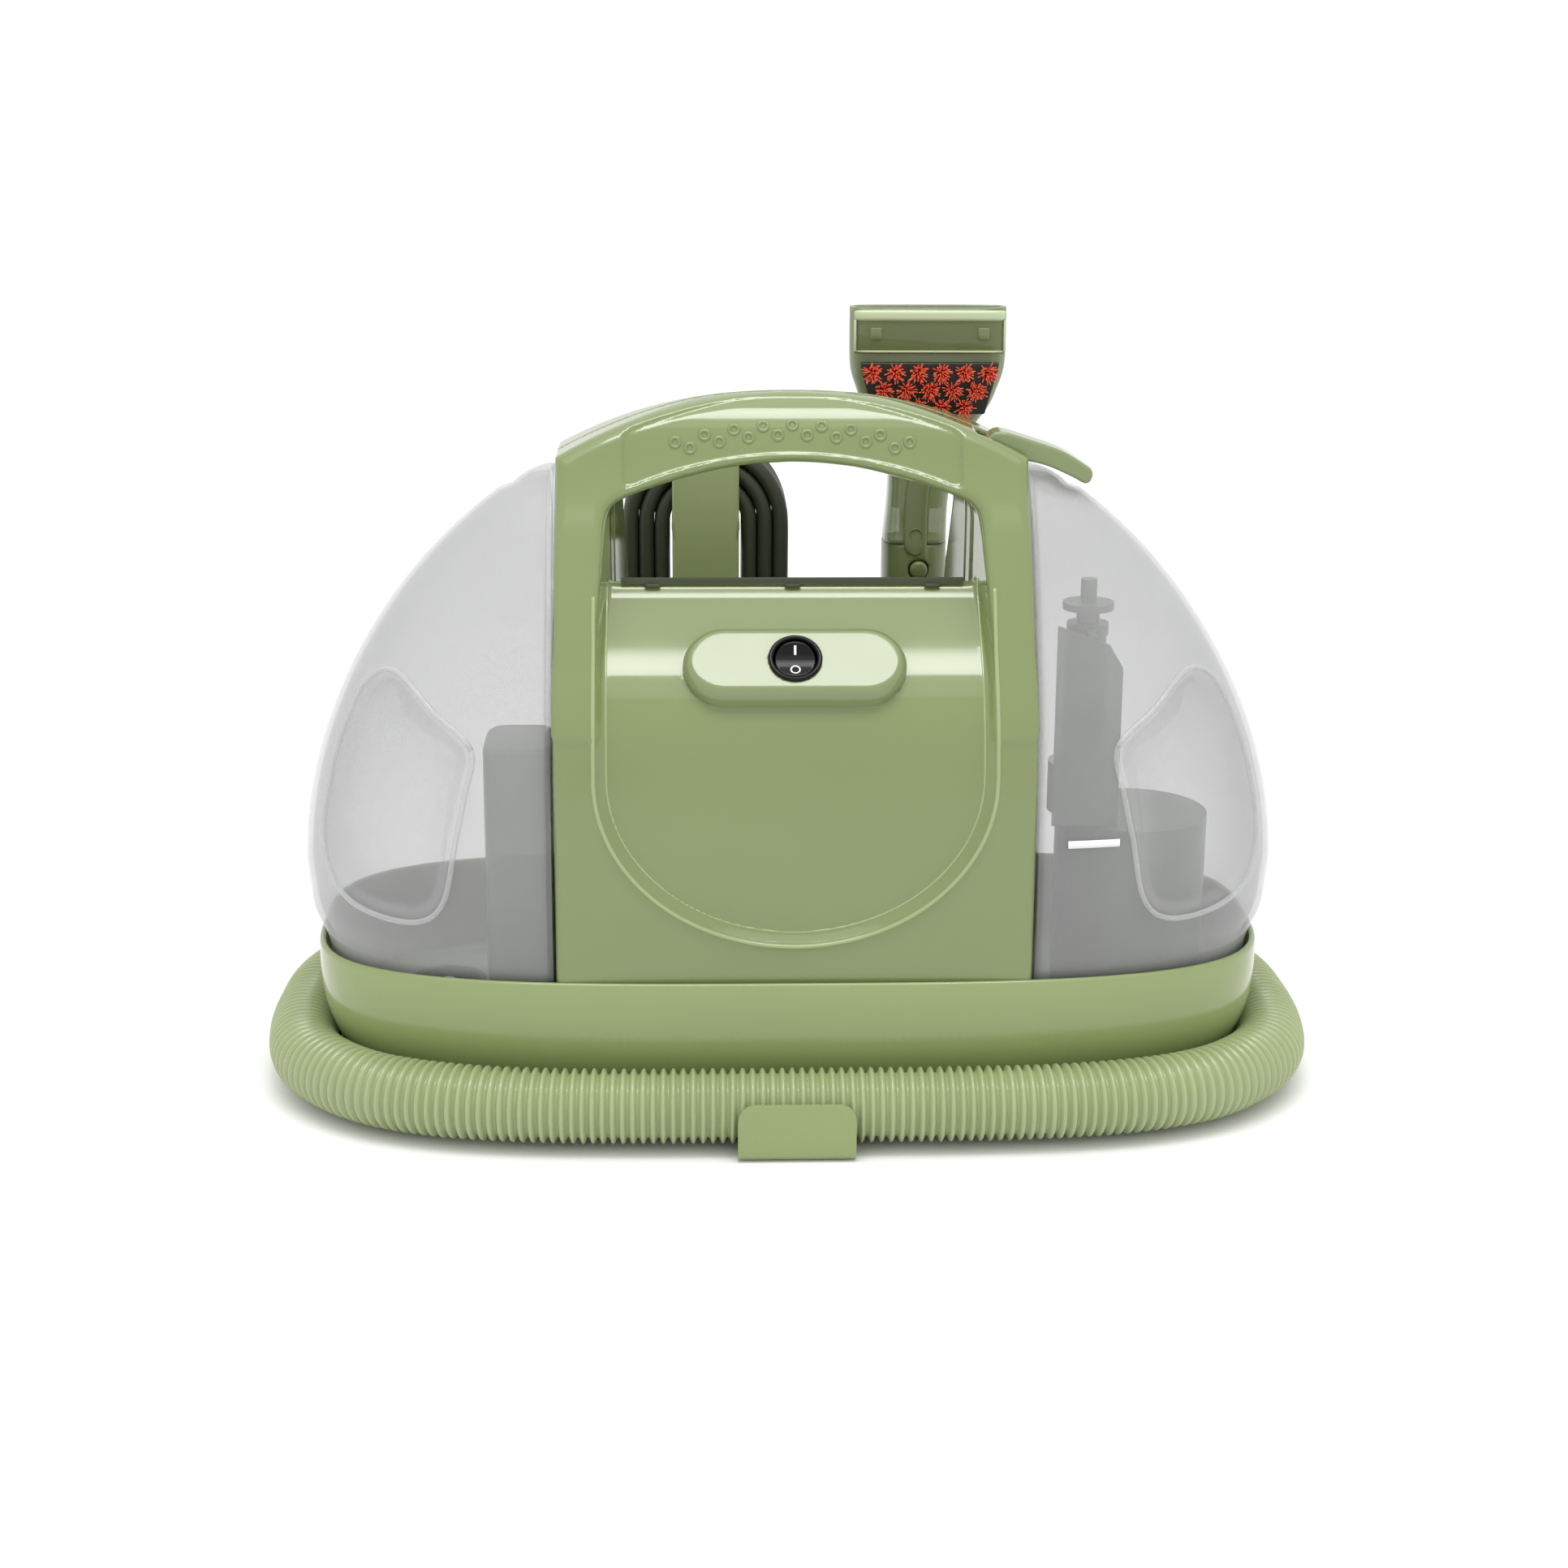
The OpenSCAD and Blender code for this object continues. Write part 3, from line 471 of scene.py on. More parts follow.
# ---------------------------------------------------------------- camera
LENS, DISTANCE, AIM = 63.34658385, 1.2, (-0.002, 0, 0.124)
EL, AZ, ROLL = math.radians(16.5), math.radians(-2.0), 0.006
cam = bpy.data.cameras.new("camera")
cam.sensor_width = 36
cam.lens = LENS
cam.clip_end = 300
camera = bpy.data.objects.new("camera", cam)
scene.collection.objects.link(camera)
scene.camera = camera
back = Vector((math.sin(AZ) * math.cos(EL), -math.cos(AZ) * math.cos(EL), math.sin(EL)))
camera.location = Vector(AIM) + back * DISTANCE
camera.rotation_euler = back.to_track_quat("Z", "Y").to_euler()
camera.rotation_euler.rotate_axis("Z", ROLL)

# ---------------------------------------------------------------- hose and cord
hose_line = smooth_line(HOSE, 2.0)
path, hose_len = even(hose_line, 4.0 / 6)
s_at = np.linspace(0, hose_len, len(path))
crest = np.clip(0.5 + 0.72 * np.cos(2 * np.pi * s_at / RING_PITCH), 0, 1) ** 0.8
rad = HOSE_R - 2.5 * (1 - crest)
rad[s_at < 3] = HOSE_R - 1.5
v, f = tube(path, rad, 44)
hose = obj_from("hose_corrugated", v, f, M["hose"], replace=["hose"], slot="hose_green")
CUFF_A = [(8, 0), (12.6, 0), (13.2, 0.6), (13.4, 3), (14.4, 3.4), (14.4, 4.6), (13.8, 5), (14.9, 10.6),
          (14.5, 11.1), (8, 11.1)]
CUFF_B = [(8, 0), (15.4, 0), (15.9, 0.6), (15.7, 3.4), (14.9, 3.8), (14.9, 5), (15.4, 5.4), (15.1, 8.6),
          (14.4, 9), (14.3, 10.4), (14.7, 10.8), (14, 15.2), (8, 15.4)]
cuff_a = obj_from("hose_cuff_a", *turned(CUFF_A, (23.4, 104.5, 17.8), (-1, 0, 0)), M["rubber"],
                  replace=["hose_cuff_machine"], slot="rubber_black")
cuff_b = obj_from("hose_cuff_b", *turned(CUFF_B, (60, 92.8, 80.2), (0, 0, 1)), M["rubber"],
                  replace=["hose_cuff_wand"], slot="rubber_black")


def winding():
    """Twelve turns round the posts: three layers in each of four rows, from the back row to the front."""
    layers = [POST_R + CORD_D * (0.6 + 1.02 * i) for i in range(3)]
    rows = [79.0, 86.4, 93.8, 101.2]
    low, high = POST_Z
    order = [(y, w) for i, y in enumerate(rows[::-1]) for w in (layers if i % 2 else layers[::-1])]
    pts = []
    for k, (y0, a) in enumerate(order):
        last = k + 1 == len(order)
        y1, b = order[k if last else k + 1]
        for t in np.linspace(0, 1, 14, endpoint=False):
            pts.append([WRAP_X - a * math.cos(math.pi * t), y0, high + a * math.sin(math.pi * t)])
        for t in np.linspace(0, 1, 5, endpoint=False):
            pts.append([WRAP_X + a, y0, high + (low - high) * t])
        for t in np.linspace(0, 0.46 if last else 1, 14, endpoint=False):
            m = ramp(t, 0, 1)
            c = a + (b - a) * m
            pts.append([WRAP_X + c * math.cos(math.pi * t), y0 + (y1 - y0) * m,
                        low - c * math.sin(math.pi * t)])
        if not last:
            for t in np.linspace(0, 1, 5, endpoint=False):
                pts.append([WRAP_X - b, y1, low + (high - low) * t])
    return pts


coil = winding()
rise = [[coil[0][0], coil[0][1], z] for z in (166, 186, 206)]
cord_line = smooth_line(LEAD + rise + coil + TAIL, 4.0)
cord_path, cord_len = even(cord_line, 3.0)
v, f = tube(cord_path, CORD_D / 2, 12)
cord = obj_from("mains_cord", v, f, M["cord"], replace=["cord_lead", "power_cord_coil"], slot="cord_green")
RELIEF = [(5, 0), (5, 8), (7.4, 8.2), (7.6, 10.6), (6.9, 11), (6.9, 12.6), (7, 13), (6.8, 15), (6.1, 15.4),
          (6.1, 17), (6.5, 17.4), (6.2, 19.4), (5.5, 19.8), (5.5, 21.4), (5.9, 21.8), (5.7, 23.8), (5, 24.2),
          (5, 25.8), (5.4, 26.2), (5.2, 28.2), (4.6, 28.6), (4.7, 33), (4.2, 34)]
relief = obj_from("strain_relief_boot", *turned(RELIEF, (-80, 62, 60), (0, 1, 0), 40), M["rubber"],
                  replace=["strain_relief"], slot="rubber_black")


def rounded_box(cx, cy, z0, z1, wx, wy, n=4.0, steps=6, edge=2.0, k=48):
    """An upright block of half widths wx and wy with rounded corners and eased ends."""
    rings = []
    for i in range(steps + 1):
        t = math.pi / 2 * i / steps
        o = edge * (1 - math.sin(t))
        rings.append(oval(wx - o, wy - o, n, z0 + edge * (1 - math.cos(t)), k, cx, cy))
    for i in range(steps + 1):
        t = math.pi / 2 * i / steps
        o = edge * (1 - math.cos(t))
        rings.append(oval(wx - o, wy - o, n, z1 - edge * (1 - math.sin(t)), k, cx, cy))
    return loft(rings)


BOOT = [(3.6, 0), (4.6, 0.4), (4.9, 2.6), (4.4, 3), (4.5, 4.4), (5.2, 4.8), (5.5, 7), (5, 7.4), (5.1, 8.8),
        (5.8, 9.2), (6.2, 11.4), (5.7, 11.8), (5.8, 13.2), (6.6, 13.6), (7.2, 18.4)]
boot = turned(BOOT, (WRAP_X, 123, 131.6), (0, 0, 1), 40)
plug = obj_from("plug_moulded", *join([rounded_box(WRAP_X, 123.1, 149.6, 180, 12, 8.4, 3.6), boot]),
                M["plug"], replace=["plug_body"], slot="cord_green")


# ---------------------------------------------------------------- base
def wall(a, b, z):
    return oval(a, b, PN, z, 440)


# the foot's wall from its underside, up over the rim and down inside
foot = [(BA - 40, BB - 26, 5), (BA - 27, BB - 15, 5), (BA - 25, BB - 13.6, 5.6), (BA - 18, BB - 8.2, 10),
        (BA - 13.5, BB - 5.2, 13.8), (BA - 10.6, BB - 3.5, 17), (BA - 7.6, BB - 2.2, 22),
        (BA - 5.1, BB - 1.3, 28), (BA - 2.8, BB - 0.5, 34), (BA - 1.3, BB - 0.1, 40), (BA - 0.5, BB, 46),
        (BA, BB, 53), (BA, BB, 63.2), (BA - 0.2, BB - 0.2, 64.2), (BA - 0.7, BB - 0.7, 64.8),
        (BA - 1.4, BB - 1.4, 65), (BA - 2.2, BB - 2.2, 64.8), (BA - 2.8, BB - 2.8, 64.2),
        (BA - 3, BB - 3, 63), (BA - 4.5, BB - 3.4, 40), (BA - 8.5, BB - 4.6, 28),
        (BA - 14, BB - 7, 20.2)]
v, f = loft([wall(*p) for p in foot])
# a round notch in the rear rim for the strain relief, and a slot that the hose rises through
notch = (np.abs(v[:, 0] + 80) < 7.9) & (v[:, 1] > 70) & (v[:, 2] > 50)
v[notch, 2] = np.minimum(v[notch, 2], 60 - np.sqrt(62.5 - (v[notch, 0] + 80) ** 2))
rise_slot = (v[:, 0] > 44) & (v[:, 0] < 92) & (v[:, 1] > 70)
v[rise_slot, 2] = np.minimum(v[rise_slot, 2], 36)
obj_from("base_moulding", v, f, M["base"], replace=["base_tub"], slot="base_green")


def clip_shape(sign, x0):
    """The lug that holds the hose against the foot, with rounded top corners."""
    pts = []
    prof = [(-66, 1.3), (-100, 1.3), (-117, 1.3), (-120.2, 1.8), (-121.3, 3.4), (-121.5, 6)]
    for y, z in prof:
        pts.append([(-24, y, z), (24, y, z)])
    arc = [(24 - 7 * (1 - math.cos(t)), 18 + 7 * math.sin(t)) for t in np.linspace(0, math.pi / 2, 8)]
    for w, z in [(24, 10), (24, 14)] + arc:
        pts.append([(-w, -121.5, z), (w, -121.5, z)])
    rows = []
    for a, b in pts:
        a, b = np.array(a, float), np.array(b, float)
        rows.append([a + (b - a) * t for t in np.linspace(0, 1, 9)])
    rows = np.array(rows) * [1, sign, 1]
    rows[..., 0] += x0
    m, n = rows.shape[:2]
    faces = [(i * n + j, i * n + j + 1, (i + 1) * n + j + 1, (i + 1) * n + j)
             for i in range(m - 1) for j in range(n - 1)]
    return rows.reshape(-1, 3), faces


for end, sign, cx in (("front", 1, 0.0), ("rear", -1, -60.0)):
    o = obj_from(f"{end}_clip_lug", *clip_shape(sign, cx), M["base"], replace=[f"{end}_hose_clip"],
                 slot="base_green")
    plate = o.modifiers.new("thick", "SOLIDIFY")
    plate.thickness = 1.9 * MM
    plate.offset = 0
    bevel(o, 0.6, 3)

FOOT = [(0, 0), (7.4, 0), (8, 0.5), (8.6, 2), (9.3, 4.4), (9, 5), (0, 5)]
feet = [turned(FOOT, (x, y, 0), (0, 0, 1), 40) for x in (-140, 140) for y in (-38, 38)]
obj_from("rubber_feet_pads", *join(feet), M["rubber"], replace=["rubber_feet"], slot="rubber_black")

# ---------------------------------------------------------------- body shells
def smooth_flat(pts, step, closed=False):
    """The same curve through points of two coordinates."""
    return smooth_line([[0, a, b] for a, b in pts], step, closed)[:, 1:]


# side profiles of the lower body, from the front foot over the top, and of the handle arch
front_curve = smooth_flat([[-86, 62], [-86, 84], [-86, 100], [-85, 130], [-83, 152], [-79.5, 168], [-74, 180],
                           [-66, 191], [-56, 200.5], [-45, 209.5], [-33, 219], [-30, 221]], 3)
top_curve = smooth_flat([[-26, 220], [0, 210], [30, 198], [56, 188], [64, 182], [68, 172], [69, 150],
                         [69, 62]], 4)
low_poly = np.concatenate([front_curve, top_curve])
arch_poly = smooth_flat([[-81, 166], [-77.5, 174], [-70.6, 187], [-63, 201], [-55, 215], [-47, 229],
                         [-39, 243], [-31, 256], [-24.6, 268], [-18.5, 283], [-10, 293], [0, 297], [9, 294],
                         [17, 286], [22, 274], [25, 258], [29, 240], [35, 222], [43, 205], [45, 180]], 3)
# front outlines of the arch, the hand opening, the arch's recessed face and the front panel
xs = np.linspace(SHELL_X, -SHELL_X, 99)
outline = np.concatenate([[[SHELL_X, 150]], np.stack([xs, dome_z(xs)], -1), [[-SHELL_X, 150]]])
half = [[75.4, 205], [75.6, 235], [75.4, 247], [73.6, 251.6], [69, 254.6], [58, 258.6], [44, 262.6],
        [24, 266.8]]
hole = smooth_flat([[-x, z] for x, z in half] + [[0, 268.5]] + half[::-1], 2)
hole = np.concatenate([[[75, 150], [-75, 150]], hole])
FACE_X = 71
gx = np.linspace(-FACE_X, FACE_X, 40)
face = np.concatenate([np.stack([gx, 273 - 14.6 * (gx / FACE_X) ** 2], -1),
                       np.stack([gx, dome_z(gx) - 3.2], -1)[::-1]])
PANEL_X, PANEL_Z, PANEL_DROP = 75.8, 150, 64
sweep = np.linspace(0, math.pi, 40)
bowl = np.stack([PANEL_X * np.cos(sweep), PANEL_Z - PANEL_DROP * np.sin(sweep)], -1)
u_panel = np.concatenate([[[PANEL_X, 245]], bowl, [[-PANEL_X, 245]]])
F_low = field(low_poly, (-100, 50), (90, 240))
F_arch = field(arch_poly, (-90, 160), (80, 310))
F_out = field(outline, (-110, 140), (110, 310))
F_hole = field(hole, (-110, 140), (110, 310))
F_u = field(u_panel, (-110, 60), (110, 260))
F_face = field(face, (-110, 140), (110, 310))
# the 17 grip dots sit in two staggered rows
dot_x = np.arange(-8, 9) * 6.05
dot_z = dome_z(dot_x) - np.where(np.arange(17) % 2 == 0, 13.6, 17.4)
dot_y = np.interp(dot_z, [268, 283, 290], [-23.2, -18.2, -11.5])


def body_sdf(p):
    """The whole body without its parting line: lower block, front panel with its frame, and handle arch."""
    x, y, z = p.T
    low = both(F_low(y, z), np.abs(x) - SHELL_X, 2.6)
    front = ramp(-y, 24, 34)
    u = F_u(x, z)
    low = low + front * (3.4 * np.clip((5.2 - u) / 4.0, 0, 1) - 0.7 * np.exp(-(((u - 6.4) / 1.3) ** 2)))
    edge = 2.6 + 2.8 * ramp(z, 225, 262)
    # the hand opening widens towards the front and narrows towards the back
    mouth = np.abs(x) - 5.4 * np.clip((-y - 22) / 40, 0, 1) + 6 * np.clip((y + 8) / 43, 0, 1)
    mouth = np.maximum(mouth, 0)
    arch = both(F_arch(y, z), both(F_out(x, z), -F_hole(mouth, z), 4), edge)
    inset = np.clip((1.2 - both(F_face(x, z), np.abs(x) - FACE_X, 5)) / 1.5, 0, 1)
    arch = arch + 1.5 * ramp(-y, 5, 8) * inset
    return merge(low, arch, 3)


def turn_x(angle):
    c, s = math.cos(angle), math.sin(angle)
    return np.array([[1, 0, 0], [0, c, -s], [0, s, c]])


rot = turn_x(TILT)


def to_switch(p):
    """Points in the switch's own axes: across, up the slope and out of the face."""
    return (p - SWITCH) @ rot


def at_switch(v):
    """Points from the switch's own axes back into the model's."""
    return np.asarray(v) @ rot.T + SWITCH


def stadium_sdf(a, b, w, h):
    return np.hypot(np.maximum(np.abs(a) - (w - h) / 2, 0), b) - h / 2


def shell_sdf(side):
    """One half of the hollow body, front (1) or rear (-1), with the switch opening and latch pocket."""
    def f(p):
        x, y, z = p.T
        d = body_sdf(p)
        q = to_switch(p)
        pad_hole = np.maximum(stadium_sdf(q[:, 0], q[:, 1], 88, 31), np.abs(q[:, 2]) - 12)
        d = np.maximum(d, -(d + SHELL_WALL))
        d = np.maximum(d, -pad_hole)
        pocket = np.maximum(np.maximum(np.abs(x - 90.5) - 14.0, np.abs(y + 8) - 8.2), np.abs(z - 283) - 15)
        d = np.maximum(d, -pocket)
        return both(d, side * y + 0.2, 0.7)
    return f


SHELL_GRID = 1.25
v, f = skin(shell_sdf(1), (-101, -90, 59), (101, 3, 300), SHELL_GRID)
obj_from("body_front", v, f, M["body"], replace=["front_shell"], slot="body_green")
v, f = skin(shell_sdf(-1), (-101, -3, 59), (101, 72, 300), SHELL_GRID)
obj_from("body_rear", v, f, M["body"], replace=["rear_shell"], slot="body_green")
# the two ridges of the panel's frame, brought back on to the body from in front of it; they are real ridges,
# coloured a lighter green than the body as a painted highlight along each
for name, off, thick in (("panel_outline_outer", 6.0, 0.95), ("panel_outline_inner", 1.0, 0.6)):
    bend = np.linspace(0, math.pi, 60)
    leg = np.stack([np.full(24, PANEL_X + off), np.linspace(222, 152, 24)], -1)
    bow = np.stack([(PANEL_X + off) * np.cos(bend), PANEL_Z - (PANEL_DROP + off) * np.sin(bend)], -1)
    ring = np.concatenate([leg, bow, (leg * [-1, 1])[::-1]])
    pts = np.stack([ring[:, 0], np.full(len(ring), -96.0), ring[:, 1]], -1)
    for _ in range(40):
        pts[:, 1] += 0.8 * body_sdf(pts)
    pts = smooth_line(pts[::2], 1.5)
    obj_from(name, *tube(pts + [0, 0.35, 0], thick, 10), M["rim"], slot="body_green")
DOT = [(1.0, -0.8), (1.15, 0.0), (1.6, 0.62), (2.2, 0.66), (2.7, 0.1), (2.9, -0.8)]
dots = []
for place in zip(dot_x, dot_y, dot_z):
    q = np.array([place])
    for _ in range(12):
        q[0, 1] += body_sdf(q)[0]
    nrm = np.array([(body_sdf(q + 0.3 * e) - body_sdf(q - 0.3 * e))[0] for e in np.eye(3)])
    dots.append(turned(DOT, q[0], nrm, 28))
o = obj_from("grip_dots", *join(dots), M["body"], slot="body_green")
fix_normals(o)


def pad_sdf(p):
    """The raised plate round the switch, with the well that the switch sits in."""
    a, b, c = to_switch(p).T
    s = stadium_sdf(a, b, 91, 34)
    top = both(s + np.clip(c, 0, 4) * 0.5, c - 4.0, 2.2)
    d = np.maximum(top, -c - 7)
    well = np.hypot(a, b) - 10.3
    return cut(d, np.maximum(well, -c - 9), 0.4)


lo, hi = SWITCH - [48, 18, 16], SWITCH + [48, 18, 20]
v, f = skin(pad_sdf, lo, hi, 0.9)
obj_from("switch_pad", v, f, M["pad"], replace=["switch_plate"], slot="switch_plate_pale")


def close_ring(f, rings, k):
    """Faces of a loft without end caps, closed from its last ring to its first."""
    last = (rings - 1) * k
    return f + [(last + i, last + (i + 1) % k, (i + 1) % k, i) for i in range(k)]


BEZEL = [(8.9, -7.8), (9.9, -7.8), (9.9, 3.9), (10.9, 4.0), (11, 4.5), (10.8, 5.1), (10.2, 5.4), (9.5, 5.3),
         (9.1, 4.8), (8.9, 4.0)]
v, f = turned(BEZEL, (0, 0, 0), (0, 0, 1), 72)
f = close_ring(f[:-2], len(BEZEL), 72)
o = obj_from("switch_ring", at_switch(v), f, M["black"], replace=["switch_bezel"], slot="switch_black")
fix_normals(o)


DISH_Z, DISH_R = 21.5, 18.0


def rocker_sdf(p):
    """A round key with a hollowed face."""
    a, b, c = p.T
    r = np.hypot(a, b) - 8.35
    bow = np.hypot(b, c - DISH_Z) - DISH_R
    return cut(both(both(r, c - 5.0, 0.9), -c - 1.0, 0.3), bow, 0.5)


v, f = skin(rocker_sdf, (-10, -10, -3), (10, 10, 7), 0.5)
tip = turn_x(math.radians(7)).T
obj_from("rocker_cap", at_switch(v @ tip), f, M["black"], body="rocker", replace=["switch_rocker"],
         slot="switch_black")


def dish(b):
    """Height of the rocker's hollowed face."""
    return DISH_Z - np.sqrt(DISH_R**2 - b**2)


# the off and on marks lie in the hollow: a short bar and a small ring
BAR = ((-0.5, -0.4), (0.5, -0.4), (0.5, 0.12), (-0.5, 0.12))
bar = loft([[(x, b, dish(b) + h) for x, h in BAR] for b in np.linspace(2.4, 6.2, 9)])
RING_R, RING_B = 1.8, -4.4
turn = np.linspace(0, 2 * np.pi, 41)[:-1]
wire = np.linspace(0, 2 * np.pi, 9)[:-1]
rings = []
for t in turn:
    bed = dish(RING_B + RING_R * math.sin(t))
    rings.append([((RING_R + 0.36 * math.cos(w)) * math.cos(t),
                   RING_B + (RING_R + 0.36 * math.cos(w)) * math.sin(t),
                   bed + 0.3 * math.sin(w)) for w in wire])
v, f = loft(rings, (False, False))
v, f = join([bar, (v, close_ring(f, len(turn), len(wire)))])
o = obj_from("switch_marks", at_switch(v @ tip), f, M["mark"], body="rocker", slot="float_white")
fix_normals(o)

# thin dark line and small lugs where the rear moulding meets the ledge
strip = [[(x, -30.6, 219.6), (x, -29.4, 220.0), (x, -29.4, 222.1), (x, -30.6, 221.7)]
         for x in np.linspace(-71, 71, 60)]
obj_from("ledge_gap", *loft(strip), M["gap"], smooth=False, slot="dark_plastic")
lugs = [rounded_box(x, -31.2, 218.2, 219.8, 3.4, 0.9, 4, 2, 0.4, 16) for x in (-58, 0, 58)]
obj_from("ledge_lugs", *join(lugs), M["gap"], slot="dark_plastic")

# ---------------------------------------------------------------- tanks
# by height: half width below the dome, half width at the shoulder, half depth, and roundness of the plan
WIDTH = ([27, 34, 45, 64, 69, 74, 82, 100, 110], [186, 190, 195, 198.8, 200, 202, 205, 206.9, 206.9])
SHOULDER = ([20, 100, 240, 252, 258, 262, 264, 266], [400, 300, 145, 122, 115.5, 109.5, 105, 100.5])
DEPTH = ([27, 34, 45, 64, 80, 100, 120, 140, 160, 180, 200, 215, 230, 245, 256, 264],
         [79, 81, 82.5, 85.6, 88, 88.5, 88, 85.5, 80.5, 73.5, 64, 55.5, 46.5, 37.5, 29, 20])
POWER = ([27, 100, 180, 230, 264], [3.4, 3.4, 3.1, 2.7, 2.4])
# outline of the finger recess, seen from the front
grip_poly = smooth_flat([[133, 159], [148, 172], [163, 185], [175, 180], [184, 162], [190, 140], [193, 116],
                         [186, 98], [170, 91], [153, 91], [144, 101], [140, 124], [136, 142]], 3, closed=True)
F_grip = field(grip_poly, (95, 70), (215, 210))


def smooth_interp(z, xp, yp):
    """Cubic curve through a short list."""
    k = smooth_line([[a, b, 0] for a, b in zip(xp, yp)], 1.0)
    return np.interp(z, k[:, 0], k[:, 1])


def dome_half_width(zs, below):
    """Half width of the dome at heights zs, and below where it has not begun."""
    rise = np.clip((zs - DOME_Z) / DH, 0, 0.999)
    return np.where(zs < DOME_Z, below, TA * (1 - rise**DN) ** (1 / DN))


def tank_skin(o, zs, k):
    """Rings of one tank wall, o in from the outside, with the finger recess pressed into its front."""
    a = dome_half_width(zs, smooth_interp(zs, *WIDTH))
    a = np.minimum(a, smooth_interp(zs, *SHOULDER))
    b = smooth_interp(zs, *DEPTH)
    n = np.interp(zs, *POWER)
    rings = []
    for ai, bi, ni, z in zip(a - o, b - o, n, zs):
        t0 = math.acos(min(0.999, ((SIDE + o) / ai) ** (ni / 2)))
        p = superellipse(ai, bi, ni, np.linspace(-t0, t0, 721))
        s = run(p)
        u = np.linspace(0, s[-1], k)
        arc = np.stack([np.interp(u, s, p[:, 0]), np.interp(u, s, p[:, 1]), np.full(k, z)], -1)
        back_y = np.linspace(arc[-1, 1], arc[0, 1], 11)[1:-1]
        flat = np.stack([np.full(9, SIDE + o), back_y, np.full(9, z)], -1)
        rings.append(np.concatenate([arc, flat]))
    r = np.array(rings)
    x, y, z = r[..., 0], r[..., 1], r[..., 2]
    front = (y < -5) & (np.arange(r.shape[1])[None] < k)
    g = F_grip(x, z)
    deep = 9.0 * ramp(-g, 0, 15) * ramp(z, 88, 150) + 5.0 * ramp(-g, 0, 5)
    lip = 1.2 * np.exp(-(((g - 1.8) / 1.6) ** 2))
    inward = np.stack([-0.25 * x / TA, -0.93 * np.sign(y), np.full_like(g, -0.2)], -1)
    return np.where(front[..., None], r + inward * (deep - lip)[..., None] * [1, 1, 0.6], r)


def tank(name, sign, node):
    """A clear tank with an outer and an inner skin, left (-1) or right (1)."""
    zo = np.concatenate([np.linspace(27, 262, 118), [262.8, 263.5, 264]])
    zi = np.concatenate([np.linspace(29.8, 258, 96), [259, 260]])
    ro, ri = tank_skin(0, zo, 120), tank_skin(2.5, zi, 100)
    ro[-3:, :, 0] += (ro[-3:, :, 0].mean() - ro[-3:, :, 0]) * np.array([0.05, 0.2, 0.5])[:, None]
    ro[-3:, :, 1] *= np.array([0.98, 0.9, 0.75])[:, None]
    flip = np.array([sign, 1, 1])
    a = loft(ro * flip)
    b = loft(ri * flip, (False, True))
    fa = [q[::-1] for q in a[1]] if sign < 0 else a[1]
    fb = b[1] if sign < 0 else [q[::-1] for q in b[1]]
    o = obj_from(name, *join([(a[0], fa), (b[0], fb)]), M["tank"], body=node, replace=[node],
                 slot="tank_clear")
    fix_normals(o)


def bead(name, sign, body):
    """The raised outline of a finger recess, laid on the tank's front."""
    ring = grip_poly - grip_poly.mean(0)
    ring = grip_poly.mean(0) + ring * (1 + 2.0 / np.linalg.norm(ring, axis=1)[:, None])
    a = dome_half_width(ring[:, 1], 206.4)
    n = np.interp(ring[:, 1], *POWER)
    b = smooth_interp(ring[:, 1], *DEPTH)
    y = -b * (1 - np.minimum(ring[:, 0] / a, 0.995) ** n) ** (1 / n)
    pts = np.stack([ring[:, 0] * sign, y - 0.35, ring[:, 1]], -1)
    pts = np.concatenate([pts, pts[:2]])
    return obj_from(name, *tube(pts, 1.15, 8), M["lip"], body=body, slot="tank_clear")


def tank_y(x, z):
    """Front face of a tank wall at a given place below its shoulder."""
    return -smooth_interp(np.array([z]), *DEPTH)[0] * (1 - (abs(x) / 206.9) ** 3.4) ** (1 / 3.4)


tank("formula_tank_clear", -1, "formula_tank")
tank("recovery_tank_clear", 1, "recovery_tank")
bead("formula_tank_bead", -1, "formula_tank")
bead("recovery_tank_bead", 1, "recovery_tank")
# the level line is a thin bar crowned over its middle, with its long edges turned in to the wall
low, mid, high = [[(x, tank_y(x, z) - 0.12, z) for x in np.linspace(*LEVEL_X, 9)]
                  for z in np.linspace(LEVEL_Z - 1.5, LEVEL_Z + 1.5, 3)]
level = [[(x, y + d, z) for x, y, z in row]
         for d, row in ((0.5, low), (0, low), (-0.15, mid), (0, high), (0.5, high))]
o = obj_from("level_bar", *loft(level, (False, False), closed=False), M["level"], body="recovery_tank",
             slot="float_white")
fix_normals(o)
obj_from("formula_tank_column", *rounded_box(-114, -30, 34, 154, 15.2, 22, 5, 4, 3, 48), M["inner"],
         body="formula_tank", slot="tank_clear")

# ---------------------------------------------------------------- latch
lever = smooth_flat([[81.4, 277.2], [84.4, 280], [89, 280], [99, 277], [112, 272.5], [121, 267.4],
                     [125.8, 263.4], [123.6, 258.4], [117, 261.4], [108, 265.4], [100, 267.6], [93, 268],
                     [88.6, 266.4], [83.6, 266.6], [80.8, 270], [80.6, 273.6]], 1.6, closed=True)
o = bevelled("latch_lever", *prism(lever, -14.9, -1.1), M["pad"], 1.5, 4, body="latch",
             replace=["tank_latch"], slot="body_green")
fix_normals(o)

